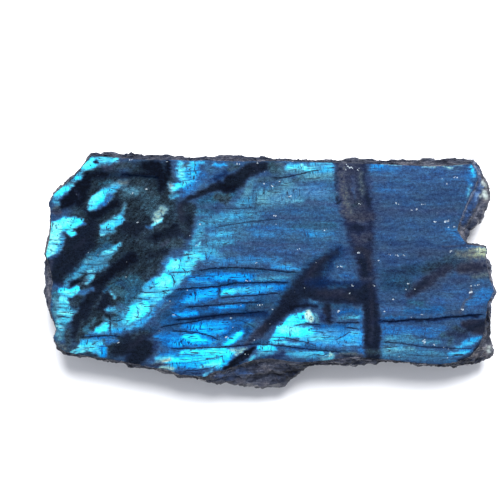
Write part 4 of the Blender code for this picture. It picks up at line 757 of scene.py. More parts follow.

# The cracks, dark with filling and painted shade: how dark each is, then the points it runs through.
CRACKS = (
    # The long cleavage cracks through the middle.
    (1, (-18, 0.1), (-14, 0.6), (-10, 0.9), (-6, 0.7), (0, 0.2), (4, -0.2), (7, -0.3)),
    (1, (-24, -4.6), (-20, -4.3), (-17, -4.2), (-13, -3.8), (-9, -3.1), (-4, -2.9), (0, -2.8), (5, -2.9)),
    (0.8, (-12.9, -6.8), (-8, -6.3), (-4, -6.1), (0, -5.7), (3, -5.6)),
    (1, (-21.5, -9), (-16, -8.7), (-12, -8.4), (-8, -8), (-3, -7.7)),
    (0.9, (-24, -12.3), (-19, -11.9), (-15, -11.3), (-10, -10.8), (-5, -10.4), (-1, -10.1)),
    (0.8, (-28, -14.2), (-24, -13.4), (-20, -12.9), (-17, -12.2), (-14, -11.8)),
    (0.8, (-25, -14.9), (-21, -15.1), (-18, -15.4), (-15, -16.2), (-12.5, -17.4)),
    (0.9, (-25, -19.4), (-20, -19.3), (-15, -19.2), (-10, -18.9), (-6, -18.5), (-3, -18.3), (1, -18.4)),
    (0.8, (-12.6, -3.9), (-12.4, -5.6)),
    (0.6, (-24, -21.1), (-21, -20.8), (-18, -20.9)),
    (0.5, (-25, -23.2), (-20, -22.9), (-16, -22.2), (-12.4, -21.8)),
    (0.5, (-20, -21.9), (-15, -21.8), (-11.5, -21.3)),
    (0.7, (-22, -25), (-18, -24.8), (-14.4, -24.2), (-12.8, -23.4)),
    (0.5, (-7.8, -12.2), (-5, -13.4), (-3, -14.6)),
    (0.5, (-9, -15.4), (-12, -16), (-13.4, -17)),
    # The wedge and the blue to its right.
    (0.9, (5.6, -13.6), (9, -13.2), (13, -13.4)),
    (1, (16.3, -12.9), (19, -13), (22.8, -12.9)),
    (0.9, (18.5, -13.9), (22.5, -14.7)),
    (0.7, (16, -17.5), (18, -16.4), (20.2, -15)),
    (0.7, (-0.5, -16.6), (3, -16.6), (5.4, -17), (9, -17.9), (12, -18.8)),
    (0.8, (0, -18.5), (4, -18.8), (8, -19.4), (12, -19.8), (18, -20.3)),
    (0.6, (0, -17.3), (4, -17.5)),
    (0.5, (12.5, -21.8), (14, -20.7), (15.6, -20.3)),
    # The right end.
    (
        1,
        (27.4, -12.5), (31, -12.7), (34, -12.3), (38, -12.1),
        (43, -11.7), (48, -11.3), (52, -10.9), (54.2, -11),
    ),
    (0.7, (28, -17.7), (33, -18.1), (38, -18.9), (44, -19.3), (48, -19.5), (51, -19.4)),
    (0.5, (36, -16.4), (39, -16.8), (42, -17.2)),
    (0.5, (34, -21), (38, -21.2), (43, -21.4), (47, -21.2)),
    (0.4, (41, -5.2), (45, -4.8), (49, -4.4)),
    (0.4, (27, -17.9), (32, -17.1)),
    # The left end.
    (1, (-47.6, -16.6), (-44, -16.4), (-40, -16.2), (-37, -16.5)),
    (0.8, (-25.4, -0.4), (-22, -0.3), (-19.6, 0)),
    (0.8, (-22.7, 2.1), (-22.6, 0.2)),
    (0.8, (-25.2, -0.5), (-24.3, -1.6), (-23.9, -3), (-24.3, -4.4)),
    (0.7, (-33, -5.1), (-30, -5.4), (-27.5, -5.2), (-24.4, -4.7)),
    (0.5, (-28.9, -1.5), (-29, -4.8)),
    (0.6, (-33.8, -8.2), (-33, -9.5), (-32.9, -11), (-33.6, -12.3)),
    (0.5, (-30, -8), (-29.6, -10), (-31, -11.6)),
    (0.9, (-40.2, -10.6), (-39.9, -13), (-40.1, -15.4)),
    (0.8, (-40, -12.5), (-38, -12.5), (-36.4, -12)),
    (0.6, (-39.6, -11.4), (-37, -11.2)),
    (0.6, (-35, -6.6), (-32, -6.9), (-29.4, -7.2)),
    (0.7, (-54.6, 6.9), (-52.4, 6.5)),
    (0.8, (-54, 17.7), (-53.2, 17.5), (-52.2, 18.1)),
    (0.8, (-53.8, -11.6), (-52, -11.4), (-49.5, -11.8)),
    (0.9, (-53, -13.2), (-51.5, -13.4)),
    (0.9, (-53.2, -14.4), (-51.6, -14.3)),
    (0.6, (-53.8, -8.4), (-51, -8.2), (-49.4, -8.6)),
    (0.5, (-53, -9.8), (-50, -10.2), (-48.4, -10)),
    (0.5, (-53.6, -6.2), (-51, -6.2), (-48, -6.4)),
    (0.7, (-48.6, -0.4), (-46, -0.7), (-43, -0.7)),
    (0.5, (-46.6, 1.6), (-43, 1.6), (-40, 2)),
    (0.5, (-44, 3.6), (-41, 3.8), (-38.6, 4.4)),
    (0.5, (-47.6, -2.4), (-45, -2.6)),
    (0.7, (-48.4, 24.3), (-46.6, 24.2), (-45.4, 24.6)),
    (0.6, (-47.6, 22.9), (-46.2, 23.6)),
    # The upper part.
    (0.8, (-37, 24.2), (-34, 23.8), (-30, 23.5), (-28, 23.4)),
    (0.8, (0, 23.2), (3, 23.3), (6, 23.9), (9.5, 24.8), (13, 25.4)),
    (0.5, (-3.3, 20), (-3.5, 17), (-3.9, 14.5)),
    (0.4, (-13, 19), (-13.2, 15)),
    (0.6, (-20.3, 5.2), (-20.5, 3.3), (-20.9, 2.4)),
    (0.5, (-15, 15.8), (-9, 15.5), (-3, 15.8)),
    (0.6, (-14, 10.8), (-9, 11.8), (-4, 12.4), (0, 12.8), (3, 13)),
    (0.4, (-4, 21), (-4.4, 17)),
    (0.4, (-9, 14), (-6, 13), (-3.6, 14.6)),
    (0.5, (-23.4, 24.6), (-20, 24.9), (-16.6, 25.4)),
    (0.5, (-23.6, 22.4), (-21, 22.6), (-18.6, 23.2)),
    (0.5, (-21.2, 27.6), (-20.8, 24.6)),
    (0.5, (-17.4, 24), (-16.8, 21.8)),
)

# White flecks, painted glints where pits catch the light, and the pits they lie in: x, y and half their
# width.
PAINTED_GLINTS = (
    (-34.7, 28, 0.3), (-31, 20.5, 0.35), (-34.6, 19.4, 0.2), (-33, 12.1, 0.25), (-25.9, 27.4, 0.2),
    (-8.4, 26.7, 0.35), (-3.2, 27.1, 0.2), (-1.4, 21.9, 0.2), (-3.7, 14.4, 0.2), (0.6, 21.3, 0.25),
    (0.9, 13.8, 0.3), (2.4, 22.4, 0.2), (5, 18.6, 0.25), (13.9, 10.3, 0.25), (7.3, 5.6, 0.2),
    (19.3, 26.4, 0.35), (20.1, 25.9, 0.3), (18.9, 25.4, 0.2), (22, 25.2, 0.25), (22.3, 16.7, 0.2),
    (22.4, 4.6, 0.3), (17.9, 1.2, 0.25), (16.8, 1.1, 0.2), (27, 2.6, 0.25), (31.7, 16.9, 0.3),
    (36.5, 15.3, 0.25), (35.2, 15.2, 0.2), (38.3, 16.6, 0.25), (41.1, 12.3, 0.3), (43.9, 12.3, 0.4),
    (44.6, 12.6, 0.25), (45.7, 11, 0.25), (44.6, 10.9, 0.2), (46.5, 23.5, 0.3), (44.4, 21.8, 0.2),
    (42.8, 23.1, 0.2), (45, 4.8, 0.35), (32, 3.9, 0.25), (30, 4.1, 0.2), (33.4, 4, 0.2),
    (34.8, -3, 0.35), (33.8, -4.6, 0.2), (30.6, -6.9, 0.3), (25.9, -3.7, 0.25), (20.7, -3.6, 0.25),
    (20, -5.7, 0.25), (2, -5.7, 0.3), (-5.6, -2.4, 0.3), (-2.7, -8.6, 0.3), (17.2, -10, 0.3),
    (28.6, -10, 0.2), (38, -10.9, 0.25), (38.6, -17.5, 0.3), (38.6, -18.1, 0.25), (40.9, -18.4, 0.25),
    (44.6, -21.4, 0.25), (50.3, -5.2, 0.4), (50.4, -3.7, 0.25), (51.3, -3.6, 0.2), (52.1, -3.5, 0.2),
    (15, -20.8, 0.35), (-10.8, -16.6, 0.35), (-9.8, -11.7, 0.2), (-23.9, -11, 0.25), (-37.8, -17.9, 0.25),
    (-18.4, 6.5, 0.25), (-17.4, 11.6, 0.25), (-3.5, 2, 0.2), (0.7, -9.6, 0.2), (48.2, -9.6, 0.3),
)
# The flecks' white is a painted glint, as if their pits caught the light.
FLECK_PARTS, FLECK_SIDES = 3, 5  # pits to a fleck, and sides to a pit
FLECK_SPREAD = (0.9, 0.45)  # how far they scatter along X and Y, as shares of the fleck's half width
FLECK_SIZES = (0.22, 0.5)  # their least and greatest radius, as shares of it
GLINT_WHITES = (0.4, 1.0)  # how white the dullest and the whitest are
FLECK_EDGE = 1.7  # the radius at which a pit has faded, in radii of its white floor

# How the strokes' edges are frayed: the size of the waves and how far they reach, and then the long,
# narrow teeth that comb the strokes' ends.
FRAY = ((7.0, 0.35), (2.2, 0.35), (0.9, 0.3))
COMB_LENGTH, COMB_WIDTH, COMB_REACH = 4.0, 0.5, 0.5
SHADOW_COVER, SHADOW_SOFTNESS, SHADOW_WIDTH = 0.26, 0.55, 0.2  # of the strokes beside the cracks

# What each point of the stone carries for its finish.
PAINTED = ("glow", "tint", "veil", "light", "blue", "pale")
CARRIED = (*PAINTED, "crack", "fleck")

POLISHED, BROKEN = 0, 1  # the places of the two finishes in the stone's list
TINY = 1e-9  # keeps a division from failing
BATCHES = 60  # the parts that a long comparison is done in, to spare memory


# ---------------------------------------------------------------------------------------------- the flash


def smooth(share):
    """A soft step from 0 to 1."""
    share = np.clip(share, 0, 1)
    return share * share * (3 - 2 * share)


def depth_in_stroke(points, line):
    """How far each point is inside a stroke, in millimetres. Outside it is negative."""
    depth = np.full(len(points), -np.inf)
    for (x, y, half_width), (next_x, next_y, next_half_width) in zip(line, line[1:] or line):
        step = np.array((next_x - x, next_y - y))
        away = points - (x, y)
        share = np.clip(away @ step / max(step @ step, TINY), 0, 1)
        distance = np.linalg.norm(away - share[:, None] * step, axis=1)
        depth = np.maximum(depth, half_width + (next_half_width - half_width) * share - distance)
    return depth


def frayed(points):
    """The points nudged about, so that what is painted through them has torn, combed edges."""
    nudged = points.copy()
    for i, (x, y) in enumerate(points):
        for size, reach in FRAY:
            nudge = noise.noise_vector(Vector((x / size, y / size, size)))
            nudged[i] += (nudge.x * reach, nudge.y * reach)
        nudged[i][0] += COMB_REACH * noise.noise(Vector((x / COMB_LENGTH, y / COMB_WIDTH, 0)))
    return nudged


def crack_shadows():
    """Strokes that darken the flash on both sides of each crack."""
    return tuple(
        (NAVY, SHADOW_COVER * strength, SHADOW_SOFTNESS, *((x, y, SHADOW_WIDTH) for x, y in line))
        for strength, *line in CRACKS
    )


def painted(points, strokes):
    """The tone at each point, after all the strokes."""
    tones = np.zeros((len(points), 3))
    for tone, cover, softness, *line in strokes:
        share = cover * smooth(0.5 + depth_in_stroke(points, line) / (2 * softness))
        tones += share[:, None] * (np.array(tone) - tones)
    return tones


# ---------------------------------------------------------------------------------------------- the stone


def nearest(places):
    """A tree that finds the nearest of some flat places."""
    tree = KDTree(len(places))
    for i, (x, y) in enumerate(places):
        tree.insert((x, y, 0), i)
    tree.balance()
    return tree


def distances(tree, points):
    """The distance from each point to the nearest place of the tree."""
    return np.array([tree.find((x, y, 0))[2] for x, y in points])


def inside(outline, points):
    """Whether each point is inside the closed outline."""
    start = np.array(outline)
    step = np.roll(start, -1, 0) - start
    slope = step[:, 0] / np.where(step[:, 1] == 0, TINY, step[:, 1])
    result = []
    for part in np.array_split(points, BATCHES):
        away = part[:, None] - start
        above = away[:, :, 1] > 0
        crossed = (above != np.roll(above, -1, 1)) & (away[:, :, 0] < away[:, :, 1] * slope)
        result.append(crossed.sum(1) % 2 == 1)
    return np.concatenate(result)


def bent(point):
    """A point of a crack, moved by the waves that bend it."""
    moved = point.copy()
    for waves, reach in CRACK_WAVES:
        moved += reach * noise.noise_vector((point * waves).to_3d()).xy
    return moved


def crack_path(line):
    """The points of one crack, closely spaced and slightly unsteady."""
    path = []
    for start, end in zip(line, line[1:]):
        count = max(1, round(math.dist(start, end) / CRACK_PITCH))
        path += [Vector(start).lerp(Vector(end), i / count) for i in range(count)]
    path.append(Vector(line[-1]))
    return [bent(point) for point in path]


def skin_points(outline, cracks):
    """The flat points of the polished skin: the cracks' own, a loose grid, and the flecks' own."""
    rim = nearest(outline)
    paths = [[point for point in path if rim.find(point.to_3d())[2] > SKIN_PITCH] for path in cracks]
    on_cracks = nearest([point for path in paths for point in path])
    low, high = np.min(outline, 0), np.max(outline, 0)
    rows = np.arange(low[1], high[1], SKIN_PITCH * math.sqrt(3) / 2)
    columns = np.arange(low[0], high[0], SKIN_PITCH)
    grid = np.array([(x + SKIN_PITCH / 2 * (i % 2), y) for i, y in enumerate(rows) for x in columns])
    grid += np.random.default_rng(SEED).uniform(-SKIN_STRAY, SKIN_STRAY, grid.shape) * SKIN_PITCH
    grid = grid[inside(outline, grid)]
    grid = grid[distances(rim, grid) > RIM_GAP * SKIN_PITCH]
    grid = grid[distances(on_cracks, grid) > CRACK_GAP * SKIN_PITCH]
    glint_specks = glint_pits(on_cracks)
    grid = grid[distances(nearest(glint_specks[:, :2]), grid) > FLECK_GAP * SKIN_PITCH]
    return paths, grid, glint_specks


def glint_pits(on_cracks):
    """The points that shape the flecks, each as x, y and how white. A fleck is a few pits together,
    painted white as a glint.
    """
    chance = np.random.default_rng(SEED + 1)
    corners = []
    for x, y, half_width in PAINTED_GLINTS:
        for _ in range(FLECK_PARTS):
            middle = Vector((x, y)) + Vector(chance.normal(0, FLECK_SPREAD)) * half_width
            radius = half_width * chance.uniform(*FLECK_SIZES)
            glint_white = chance.uniform(*GLINT_WHITES)
            turn = chance.uniform(0, math.tau)
            if on_cracks.find(middle.to_3d())[2] < FLECK_EDGE * radius + SKIN_PITCH / 2:
                continue
            corners.append((*middle, glint_white))
            for i in range(FLECK_SIDES):
                angle = turn + math.tau * i / FLECK_SIDES
                ray = Vector((math.cos(angle), math.sin(angle))) * radius
                corners.append((*(middle + ray), glint_white))
                corners.append((*(middle + FLECK_EDGE * ray), 0.0))
    return np.array(corners)


def skin_height(points, from_rim, crack, fleck):
    """The height of the polished skin: crown, rounded rim, waves left by polishing, cracks and pits."""
    x, y = points.T
    height = TOP - CROWN_X * (x / HALF_LENGTH) ** 2 - CROWN_Y * (y / HALF_WIDTH) ** 2
    height -= RIM_DROP * np.exp(-from_rim / RIM_ROUNDING)
    for size, reach in POLISH_WAVES:
        waves = np.array([noise.noise(Vector((px / size, py / size, 4))) for px, py in points])
        height += reach * waves * smooth(from_rim / WAVE_MARGIN)
    return height - CRACK_DEPTH * crack - PIT_DEPTH * fleck


def crack_strength(points, paths):
    """How dark the nearest crack is at each point."""
    strengths = [strength for strength, *_ in CRACKS]
    tree = KDTree(sum(len(path) for path in paths))
    owner = []
    for strength, path in zip(strengths, paths):
        for i, point in enumerate(path):
            tree.insert(point.to_3d(), len(owner))
            taper = min(1.0, (min(i, len(path) - 1 - i) + 1) / CRACK_TAPER)
            owner.append(strength * taper)
    tree.balance()
    found = [tree.find((x, y, 0)) for x, y in points]
    reach = CRACK_REACH * SKIN_PITCH
    return np.array([owner[i] * max(0.0, 1 - distance / reach) for _, i, distance in found])


def polished_part(mesh):
    """The faces of the carried-over polished face: from the highest one outwards, up to a steep one."""
    mesh.faces.ensure_lookup_table()
    first = max(mesh.faces, key=lambda face: face.calc_center_median().z)
    found = {first}
    waiting = [first]
    while waiting:
        for edge in waiting.pop().edges:
            for face in edge.link_faces:
                if face not in found and face.normal.z > CAP_UPWARD:
                    found.add(face)
                    waiting.append(face)
    return found


def rim_of(mesh):
    """The open rim of the mesh, as its points in order."""
    edge = next(edge for edge in mesh.edges if edge.is_boundary)
    rim = [edge.verts[0], edge.verts[1]]
    while True:
        last = rim[-1]
        ends = [edge.other_vert(last) for edge in last.link_edges if edge.is_boundary]
        onward = next(end for end in ends if end is not rim[-2])
        if onward is rim[0]:
            return rim
        rim.append(onward)


def facet(place, size):
    """The height, in units of size, of a surface broken into flat, tilted facets about size across."""
    place = place / size
    centre = noise.voronoi(place)[1][0]
    tilt = noise.cell_vector(centre * TILT_SPREAD) * 2 - Vector((1, 1, 1))
    return (place - centre).dot(tilt)


def stepped(value, step):
    """The value pulled to the nearest of a flight of steps, with short risers."""
    floor = math.floor(value / step)
    share = value / step - floor
    return step * (floor + min(1.0, max(0.0, (share - RISER_START) / RISER_LENGTH)))


def break_finer(mesh, rim):
    """Gives the broken part its small ledges, plates and facets."""
    kept = set(rim)
    moves = []
    for vert in mesh.verts:
        if vert in kept:
            continue
        place = vert.co / MM
        normal = vert.normal
        calm = min(1.0, place.z / CALM_HEIGHT)
        move = normal * sum(height * facet(place, size) for size, height in BROKEN_FACETS)
        wander = STEP_WANDER * noise.noise(place / STEP_WANDER_LENGTH)
        level = place.z + wander
        move.z += LEDGE_SHARE * (stepped(level, LEDGE_STEP) - level) * max(0.0, normal.z)
        across = place.y + wander
        sideways = abs(normal.y) * (1 - abs(normal.z))
        move.y += PLATE_SHARE * (stepped(across, PLATE_STEP) - across) * sideways
        moves.append((vert, move * calm * MM))
    for vert, move in moves:
        vert.co += move
        vert.co.z = max(vert.co.z, LOW.z)


def lay_skin(mesh, rim):
    """Closes the rim with the polished skin, whose points carry the cracks and the flecks."""
    outline = [tuple(vert.co.xy / MM) for vert in rim]
    paths, grid, glint_specks = skin_points(outline, [crack_path(line) for _, *line in CRACKS])
    places = [Vector(place) for place in outline]
    edges = []
    for path in paths:
        edges += [(len(places) + i, len(places) + i + 1) for i in range(len(path) - 1)]
        places += path
    first_speck = len(places)
    places += [Vector(place) for place in glint_specks[:, :2]]
    places += [Vector(place) for place in grid]
    border = [list(range(len(rim)))]
    flat, _, faces, sources, _, _ = delaunay_2d_cdt(places, edges, border, 1, SAME_POINT)
    points = np.array(flat)
    crack = crack_strength(points, paths)
    fleck = np.zeros(len(points))
    for i, source in enumerate(sources):
        if source and first_speck <= source[0] < first_speck + len(glint_specks):
            fleck[i] = glint_specks[source[0] - first_speck][2]
    heights = skin_height(points, distances(nearest(outline), points), crack, fleck)
    crack_layer = mesh.verts.layers.float["crack"]
    pit_glint_layer = mesh.verts.layers.float["fleck"]
    corners = []
    for i, source in enumerate(sources):
        if source and source[0] < len(rim):
            corners.append(rim[source[0]])
            continue
        corner = mesh.verts.new(Vector((*points[i], heights[i])) * MM)
        corner[crack_layer] = crack[i]
        corner[pit_glint_layer] = fleck[i]
        corners.append(corner)
    return [mesh.faces.new([corners[i] for i in face]) for face in faces]


def make_stone():
    """The whole stone as one closed mesh with its paint on its points."""
    mesh = bmesh.new()
    mesh.from_mesh(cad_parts[NODE].data)
    bmesh.ops.remove_doubles(mesh, verts=mesh.verts, dist=SAME_PLACE)
    mesh.normal_update()
    bmesh.ops.delete(mesh, geom=list(polished_part(mesh)), context="FACES")
    bmesh.ops.subdivide_edges(mesh, edges=mesh.edges, cuts=WALL_CUTS, use_grid_fill=True)
    mesh.normal_update()
    for name in CARRIED:
        mesh.verts.layers.float.new(name)
    rim = rim_of(mesh)
    break_finer(mesh, rim)
    skin = lay_skin(mesh, rim)
    bmesh.ops.recalc_face_normals(mesh, faces=mesh.faces)
    for face in mesh.faces:
        face.smooth = True
        face.material_index = BROKEN
    for face in skin:
        face.material_index = POLISHED
    paint(mesh)
    data = bpy.data.meshes.new(PIECE)
    mesh.to_mesh(data)
    mesh.free()
    carried_normals = data.attributes.get("custom_normal")
    if carried_normals:  # they no longer fit
        data.attributes.remove(carried_normals)
    data.set_sharp_from_angle(angle=math.radians(SHARP_ANGLE))
    return bpy.data.objects.new(PIECE, data)


def paint(mesh):
    """Writes the tones of the flash and of the broken rock on the mesh's points."""
    layers = [mesh.verts.layers.float[name] for name in PAINTED]
    places = np.array([vert.co for vert in mesh.verts]) / MM
    points = frayed(places[:, :2])
    upper = smooth((places[:, 2:] - SIDE_LOW) / (SIDE_HIGH - SIDE_LOW))
    broken = SIDE + upper * (painted(points, BREAK) - SIDE)
    tones = np.hstack((painted(points, FLASH + crack_shadows()), broken))
    for vert, tone in zip(mesh.verts, tones):
        for layer, value in zip(layers, tone):
            vert[layer] = value


# ------------------------------------------------------------------------------------------- the finishes


EXPOSURE = 0.62  # what is as light as this shows as white under these lamps
SCREEN_WHITE, SCREEN_GAMMA = 255, 2.2
HAIRLINE_CORE = 0.3  # the share of a hairline that is at its full strength


def colour(red, green, blue):
    """A colour from its screen values, as the light of this set needs it."""
    return (*(EXPOSURE * (value / SCREEN_WHITE) ** SCREEN_GAMMA for value in (red, green, blue)), 1.0)


class Value:
    """A shader socket. Arithmetic on it adds the Math nodes that work it out."""

    def __init__(self, finish, socket):
        self.finish = finish
        self.socket = socket

    def maths(self, operation, *values):
        """Adds a Math node that works on these values."""
        return self.finish.node("ShaderNodeMath", {"operation": operation}, dict(enumerate(values)))

    def __add__(self, other):
        return self.maths("ADD", self, other)

    def __sub__(self, other):
        return self.maths("SUBTRACT", self, other)

    def __rsub__(self, other):
        return self.maths("SUBTRACT", other, self)

    def __mul__(self, other):
        return self.maths("MULTIPLY", self, other)

    __radd__ = __add__
    __rmul__ = __mul__

    def hairline(self, width):
        """Thin lines where the value passes through 0."""
        return self.maths("ABSOLUTE", self).step(width, HAIRLINE_CORE * width)

    def or_more(self, other):
        """The greater of the two."""
        return self.maths("MAXIMUM", self, other)

    def step(self, low, high):
        """A soft step that rises from 0 at low to 1 at high, or falls if low is the greater."""
        limits = {"Value": self, "From Min": low, "From Max": high}
        return self.finish.node("ShaderNodeMapRange", {"interpolation_type": "SMOOTHSTEP"}, limits)


class Finish:
    """A material with a Principled shader, and the few ways its nodes are added."""

    def __init__(self, name):
        self.material = bpy.data.materials.new(name)
        self.material.use_nodes = True
        self.tree = self.material.node_tree
        self.shader = self.tree.nodes["Principled BSDF"]
        self.place = self.node("ShaderNodeTexCoord", {}, {}, "Object")

    def put(self, socket, value):
        """Links a value to a socket, or sets a number or colour there."""
        if isinstance(value, Value):
            self.tree.links.new(value.socket, socket)
        else:
            socket.default_value = value

    def node(self, kind, settings, sockets, output=0):
        """Adds a node: its settings first, then the values or links of its sockets."""
        node = self.tree.nodes.new(kind)
        for name, value in settings.items():
            if name == "stops":
                self.set_stops(node.color_ramp, value)
            else:
                setattr(node, name, value)
        for name, value in sockets.items():
            self.put(node.inputs[name], value)
        return Value(self, node.outputs[output])

    def set_stops(self, ramp, stops):
        """Gives a colour ramp its stops, each a position and a colour."""
        while len(ramp.elements) < len(stops):
            ramp.elements.new(0.5)
        for element, (position, shade) in zip(ramp.elements, stops):
            element.position = position
            element.color = shade

    def shader_put(self, **values):
        """Sets or links sockets of the shader, which are named in lower case with underscores."""
        for name, value in values.items():
            self.put(self.shader.inputs[name.replace("_", " ").title().replace("Ior", "IOR")], value)

    def carried(self, name):
        """A value that the mesh's points carry."""
        return self.node("ShaderNodeAttribute", {"attribute_name": name}, {}, "Fac")

    def stretched(self, across, along, up):
        """The place with each direction multiplied, in waves for each millimetre."""
        scale = (across / MM, along / MM, up / MM)
        return self.node("ShaderNodeVectorMath", {"operation": "MULTIPLY"}, {0: self.place, 1: scale})

    def turned(self, across, along, angle):
        """The flat place turned first, then multiplied in the same way."""
        sockets = {0: self.place, "Angle": angle}
        turned = self.node("ShaderNodeVectorRotate", {"rotation_type": "Z_AXIS"}, sockets)
        scale = (across / MM, along / MM, 0)
        return self.node("ShaderNodeVectorMath", {"operation": "MULTIPLY"}, {0: turned, 1: scale})

    def shifted(self, place, amount, scale):
        """The place moved about by soft noise of its own, to bend a pattern."""
        sockets = {"Vector": place, "Scale": scale, "Detail": 2}
        wobble = self.node("ShaderNodeTexNoise", {}, sockets, "Color")
        middle = (0.5, 0.5, 0.5)
        centred = self.node("ShaderNodeVectorMath", {"operation": "SUBTRACT"}, {0: wobble, 1: middle})
        sized = self.node("ShaderNodeVectorMath", {"operation": "SCALE"}, {0: centred, "Scale": amount})
        return self.node("ShaderNodeVectorMath", {}, {0: place, 1: sized})

    def noise(self, place, detail, roughness=0.55):
        """Noise about 0, from -0.5 to 0.5."""
        sockets = {"Vector": place, "Scale": 1, "Detail": detail, "Roughness": roughness}
        return self.node("ShaderNodeTexNoise", {}, sockets) - 0.5

    def cells(self, place, output):
        """Cells about as large as one unit of the place: how far their middles are, or a colour each."""
        sockets = {"Vector": place, "Scale": 1}
        return self.node("ShaderNodeTexVoronoi", {"feature": "F1"}, sockets, output)

    def ramp(self, value, stops):
        """The colour that a value reaches on a road of colours."""
        return self.node("ShaderNodeValToRGB", {"stops": stops}, {"Fac": value})

    def bump(self, height, strength, depth):
        """Fine relief: the height times the depth, in millimetres, shown as strongly as it says."""
        sockets = {"Strength": strength, "Distance": depth * MM, "Height": height}
        return self.node("ShaderNodeBump", {}, sockets)

    def mix(self, share, under, over):
        """One colour laid over another."""
        sockets = {0: share, 6: under, 7: over}
        return self.node("ShaderNodeMix", {"data_type": "RGBA", "clamp_factor": True}, sockets, 2)


# The roads of colours that the finishes follow, from dark to light.
ROYAL_ROAD = (
    (0.0, colour(10, 14, 26)),
    (0.16, colour(28, 38, 70)),
    (0.34, colour(43, 68, 114)),
    (0.52, colour(36, 95, 168)),
    (0.74, colour(20, 126, 222)),
    (1.0, colour(44, 172, 255)),
)
CYAN_ROAD = (
    (0.0, colour(12, 18, 24)),
    (0.16, colour(34, 50, 58)),
    (0.38, colour(52, 96, 118)),
    (0.6, colour(60, 156, 192)),
    (0.8, colour(46, 212, 240)),
    (1.0, colour(56, 252, 250)),
)
DEEP_ROAD = (
    (0.0, colour(2, 6, 18)),
    (0.2, colour(3, 34, 68)),
    (0.4, colour(3, 68, 124)),
    (0.6, colour(3, 104, 190)),
    (0.8, colour(8, 168, 240)),
    (1.0, colour(30, 240, 255)),
)
VEIL_ROAD = (
    (0.0, colour(12, 12, 18)),
    (0.16, colour(46, 46, 56)),
    (0.3, colour(72, 74, 84)),
    (0.5, colour(106, 116, 110)),
    (0.75, colour(170, 184, 152)),
    (1.0, colour(232, 248, 244)),
)
STONE_ROAD = (
    (0.0, colour(18, 20, 30)),
    (0.25, colour(50, 55, 70)),
    (0.45, colour(82, 86, 100)),
    (0.65, colour(120, 120, 130)),
    (0.85, colour(165, 168, 176)),
    (1.0, colour(220, 226, 230)),
)
EARTH_ROAD = (
    (0.0, colour(24, 20, 24)),
    (0.45, colour(90, 80, 80)),
    (1.0, colour(200, 185, 175)),
)
SHEEN_ROAD = (
    (0.0, colour(10, 22, 46)),
    (0.5, colour(52, 92, 150)),
    (1.0, colour(140, 195, 245)),
)
# The white of the painted glints, and the colour of the pale crust.
GLINT_WHITE, PALE_CRUST = colour(215, 232, 245), colour(214, 236, 230)
PAPER = (0.86, 0.87, 0.9, 1.0)
SLANT = math.radians(-47)  # the way the fine streaks in the dark ground run
DEEPENING = 2.5  # how fast the blue deepens as the veil falls below 0


def polished_finish():
    """Blue flash under a clear, glossy surface."""
    finish = Finish("polished_labradorite")
    glow, tint, veil = (finish.carried(name) for name in ("glow", "tint", "veil"))
    crack, fleck = finish.carried("crack"), finish.carried("fleck")

    # Bands and streaks along the cleavage, and finer grain. Each of these is about 0.
    bands = finish.noise(finish.shifted(finish.stretched(0.07, 0.55, 0), 0.4, 0.5), 4)
    streaks = finish.noise(finish.shifted(finish.stretched(0.22, 1.6, 0), 0.6, 0.6), 4, 0.6)
    slants = finish.noise(finish.turned(0.3, 1.5, SLANT), 4, 0.65)
    grain = finish.noise(finish.stretched(1.1, 1.5, 0), 3, 0.65)
    speckle = finish.noise(finish.stretched(3.2, 3.6, 0), 2, 0.7)
    clouds = finish.noise(finish.stretched(0.25, 0.4, 0), 3)

    # Hairlines two ways, in patches, and only where there is a flash to break.
    across = finish.noise(finish.shifted(finish.stretched(0.1, 0.9, 0), 0.5, 1.2), 2).hairline(0.022)
    upright = finish.noise(finish.shifted(finish.stretched(0.7, 0.16, 0), 0.5, 1.2), 2).hairline(0.02)
    crazing = across * clouds.step(-0.14, 0.06) + upright * clouds.step(0.08, -0.1)
    crazing = crazing * glow.step(0.25, 0.7) * streaks.step(-0.25, 0.05)

    # How lit each point is: the flash with torn edges, and slanting streaks in the greenish dark ground.
    dark = tint.step(0.4, 0.9) * glow.step(0.6, 0.2)
    edge = glow * (1 - glow)
    texture = 0.35 * bands + 0.32 * streaks + 0.28 * grain + 0.3 * speckle
    torn = edge * edge * (5 * grain + 3.4 * speckle + 2.6 * streaks)
    lit = glow * (0.94 + texture) + torn + (1 - glow) * (0.2 * speckle + 0.15 * grain)
    lit = lit + dark * (0.22 * speckle + 0.2 * grain + 0.34 * slants)
    # Cracks darken the flash: partly their dark filling, partly painted shade in the groove.
    lit = lit * (1 - 0.7 * crazing) * (1 - (0.62 + 0.6 * streaks) * crack.step(0.15, 0.7))

    # From royal blue to cyan, then grey over it where there is a veil, and deep blue where it is below 0.
    hue = tint + 0.5 * clouds + 0.4 * streaks + 0.4 * speckle
    mist = 0.25 * grain + 0.35 * clouds + 0.2 * speckle
    grey = veil * (1 + 1.2 * grain + 0.9 * speckle) + mist
    blue = finish.mix(hue, finish.ramp(lit, ROYAL_ROAD), finish.ramp(lit, CYAN_ROAD))
    flash = finish.mix(grey, blue, finish.ramp(lit, VEIL_ROAD))
    flash = finish.mix(-DEEPENING * grey, flash, finish.ramp(lit, DEEP_ROAD))

    # The white flecks, and specks too small to be pits: painted glints.
    dots = finish.cells(finish.stretched(0.5, 0.5, 0), "Distance")
    glint_specks = dots.step(0.085, 0.03) * finish.noise(finish.stretched(0.3, 0.5, 0), 2).step(0.02, 0.14)
    glint_white = (fleck * (0.9 + 1.6 * speckle)).or_more(0.6 * glint_specks)
    # Painted glints: the flecks and specks are laid over the flash in white.
    finish.shader_put(
        base_color=finish.mix(glint_white, flash, GLINT_WHITE),
        roughness=0.36 + 0.3 * crack + 0.3 * grain,
        normal=finish.bump(streaks + speckle, 0.25, 0.1),
        specular_ior_level=0.0,
        coat_weight=1 - crack.step(0.0, 0.15),
        coat_roughness=0.03,
        coat_ior=1.3,
    )
    return finish.material


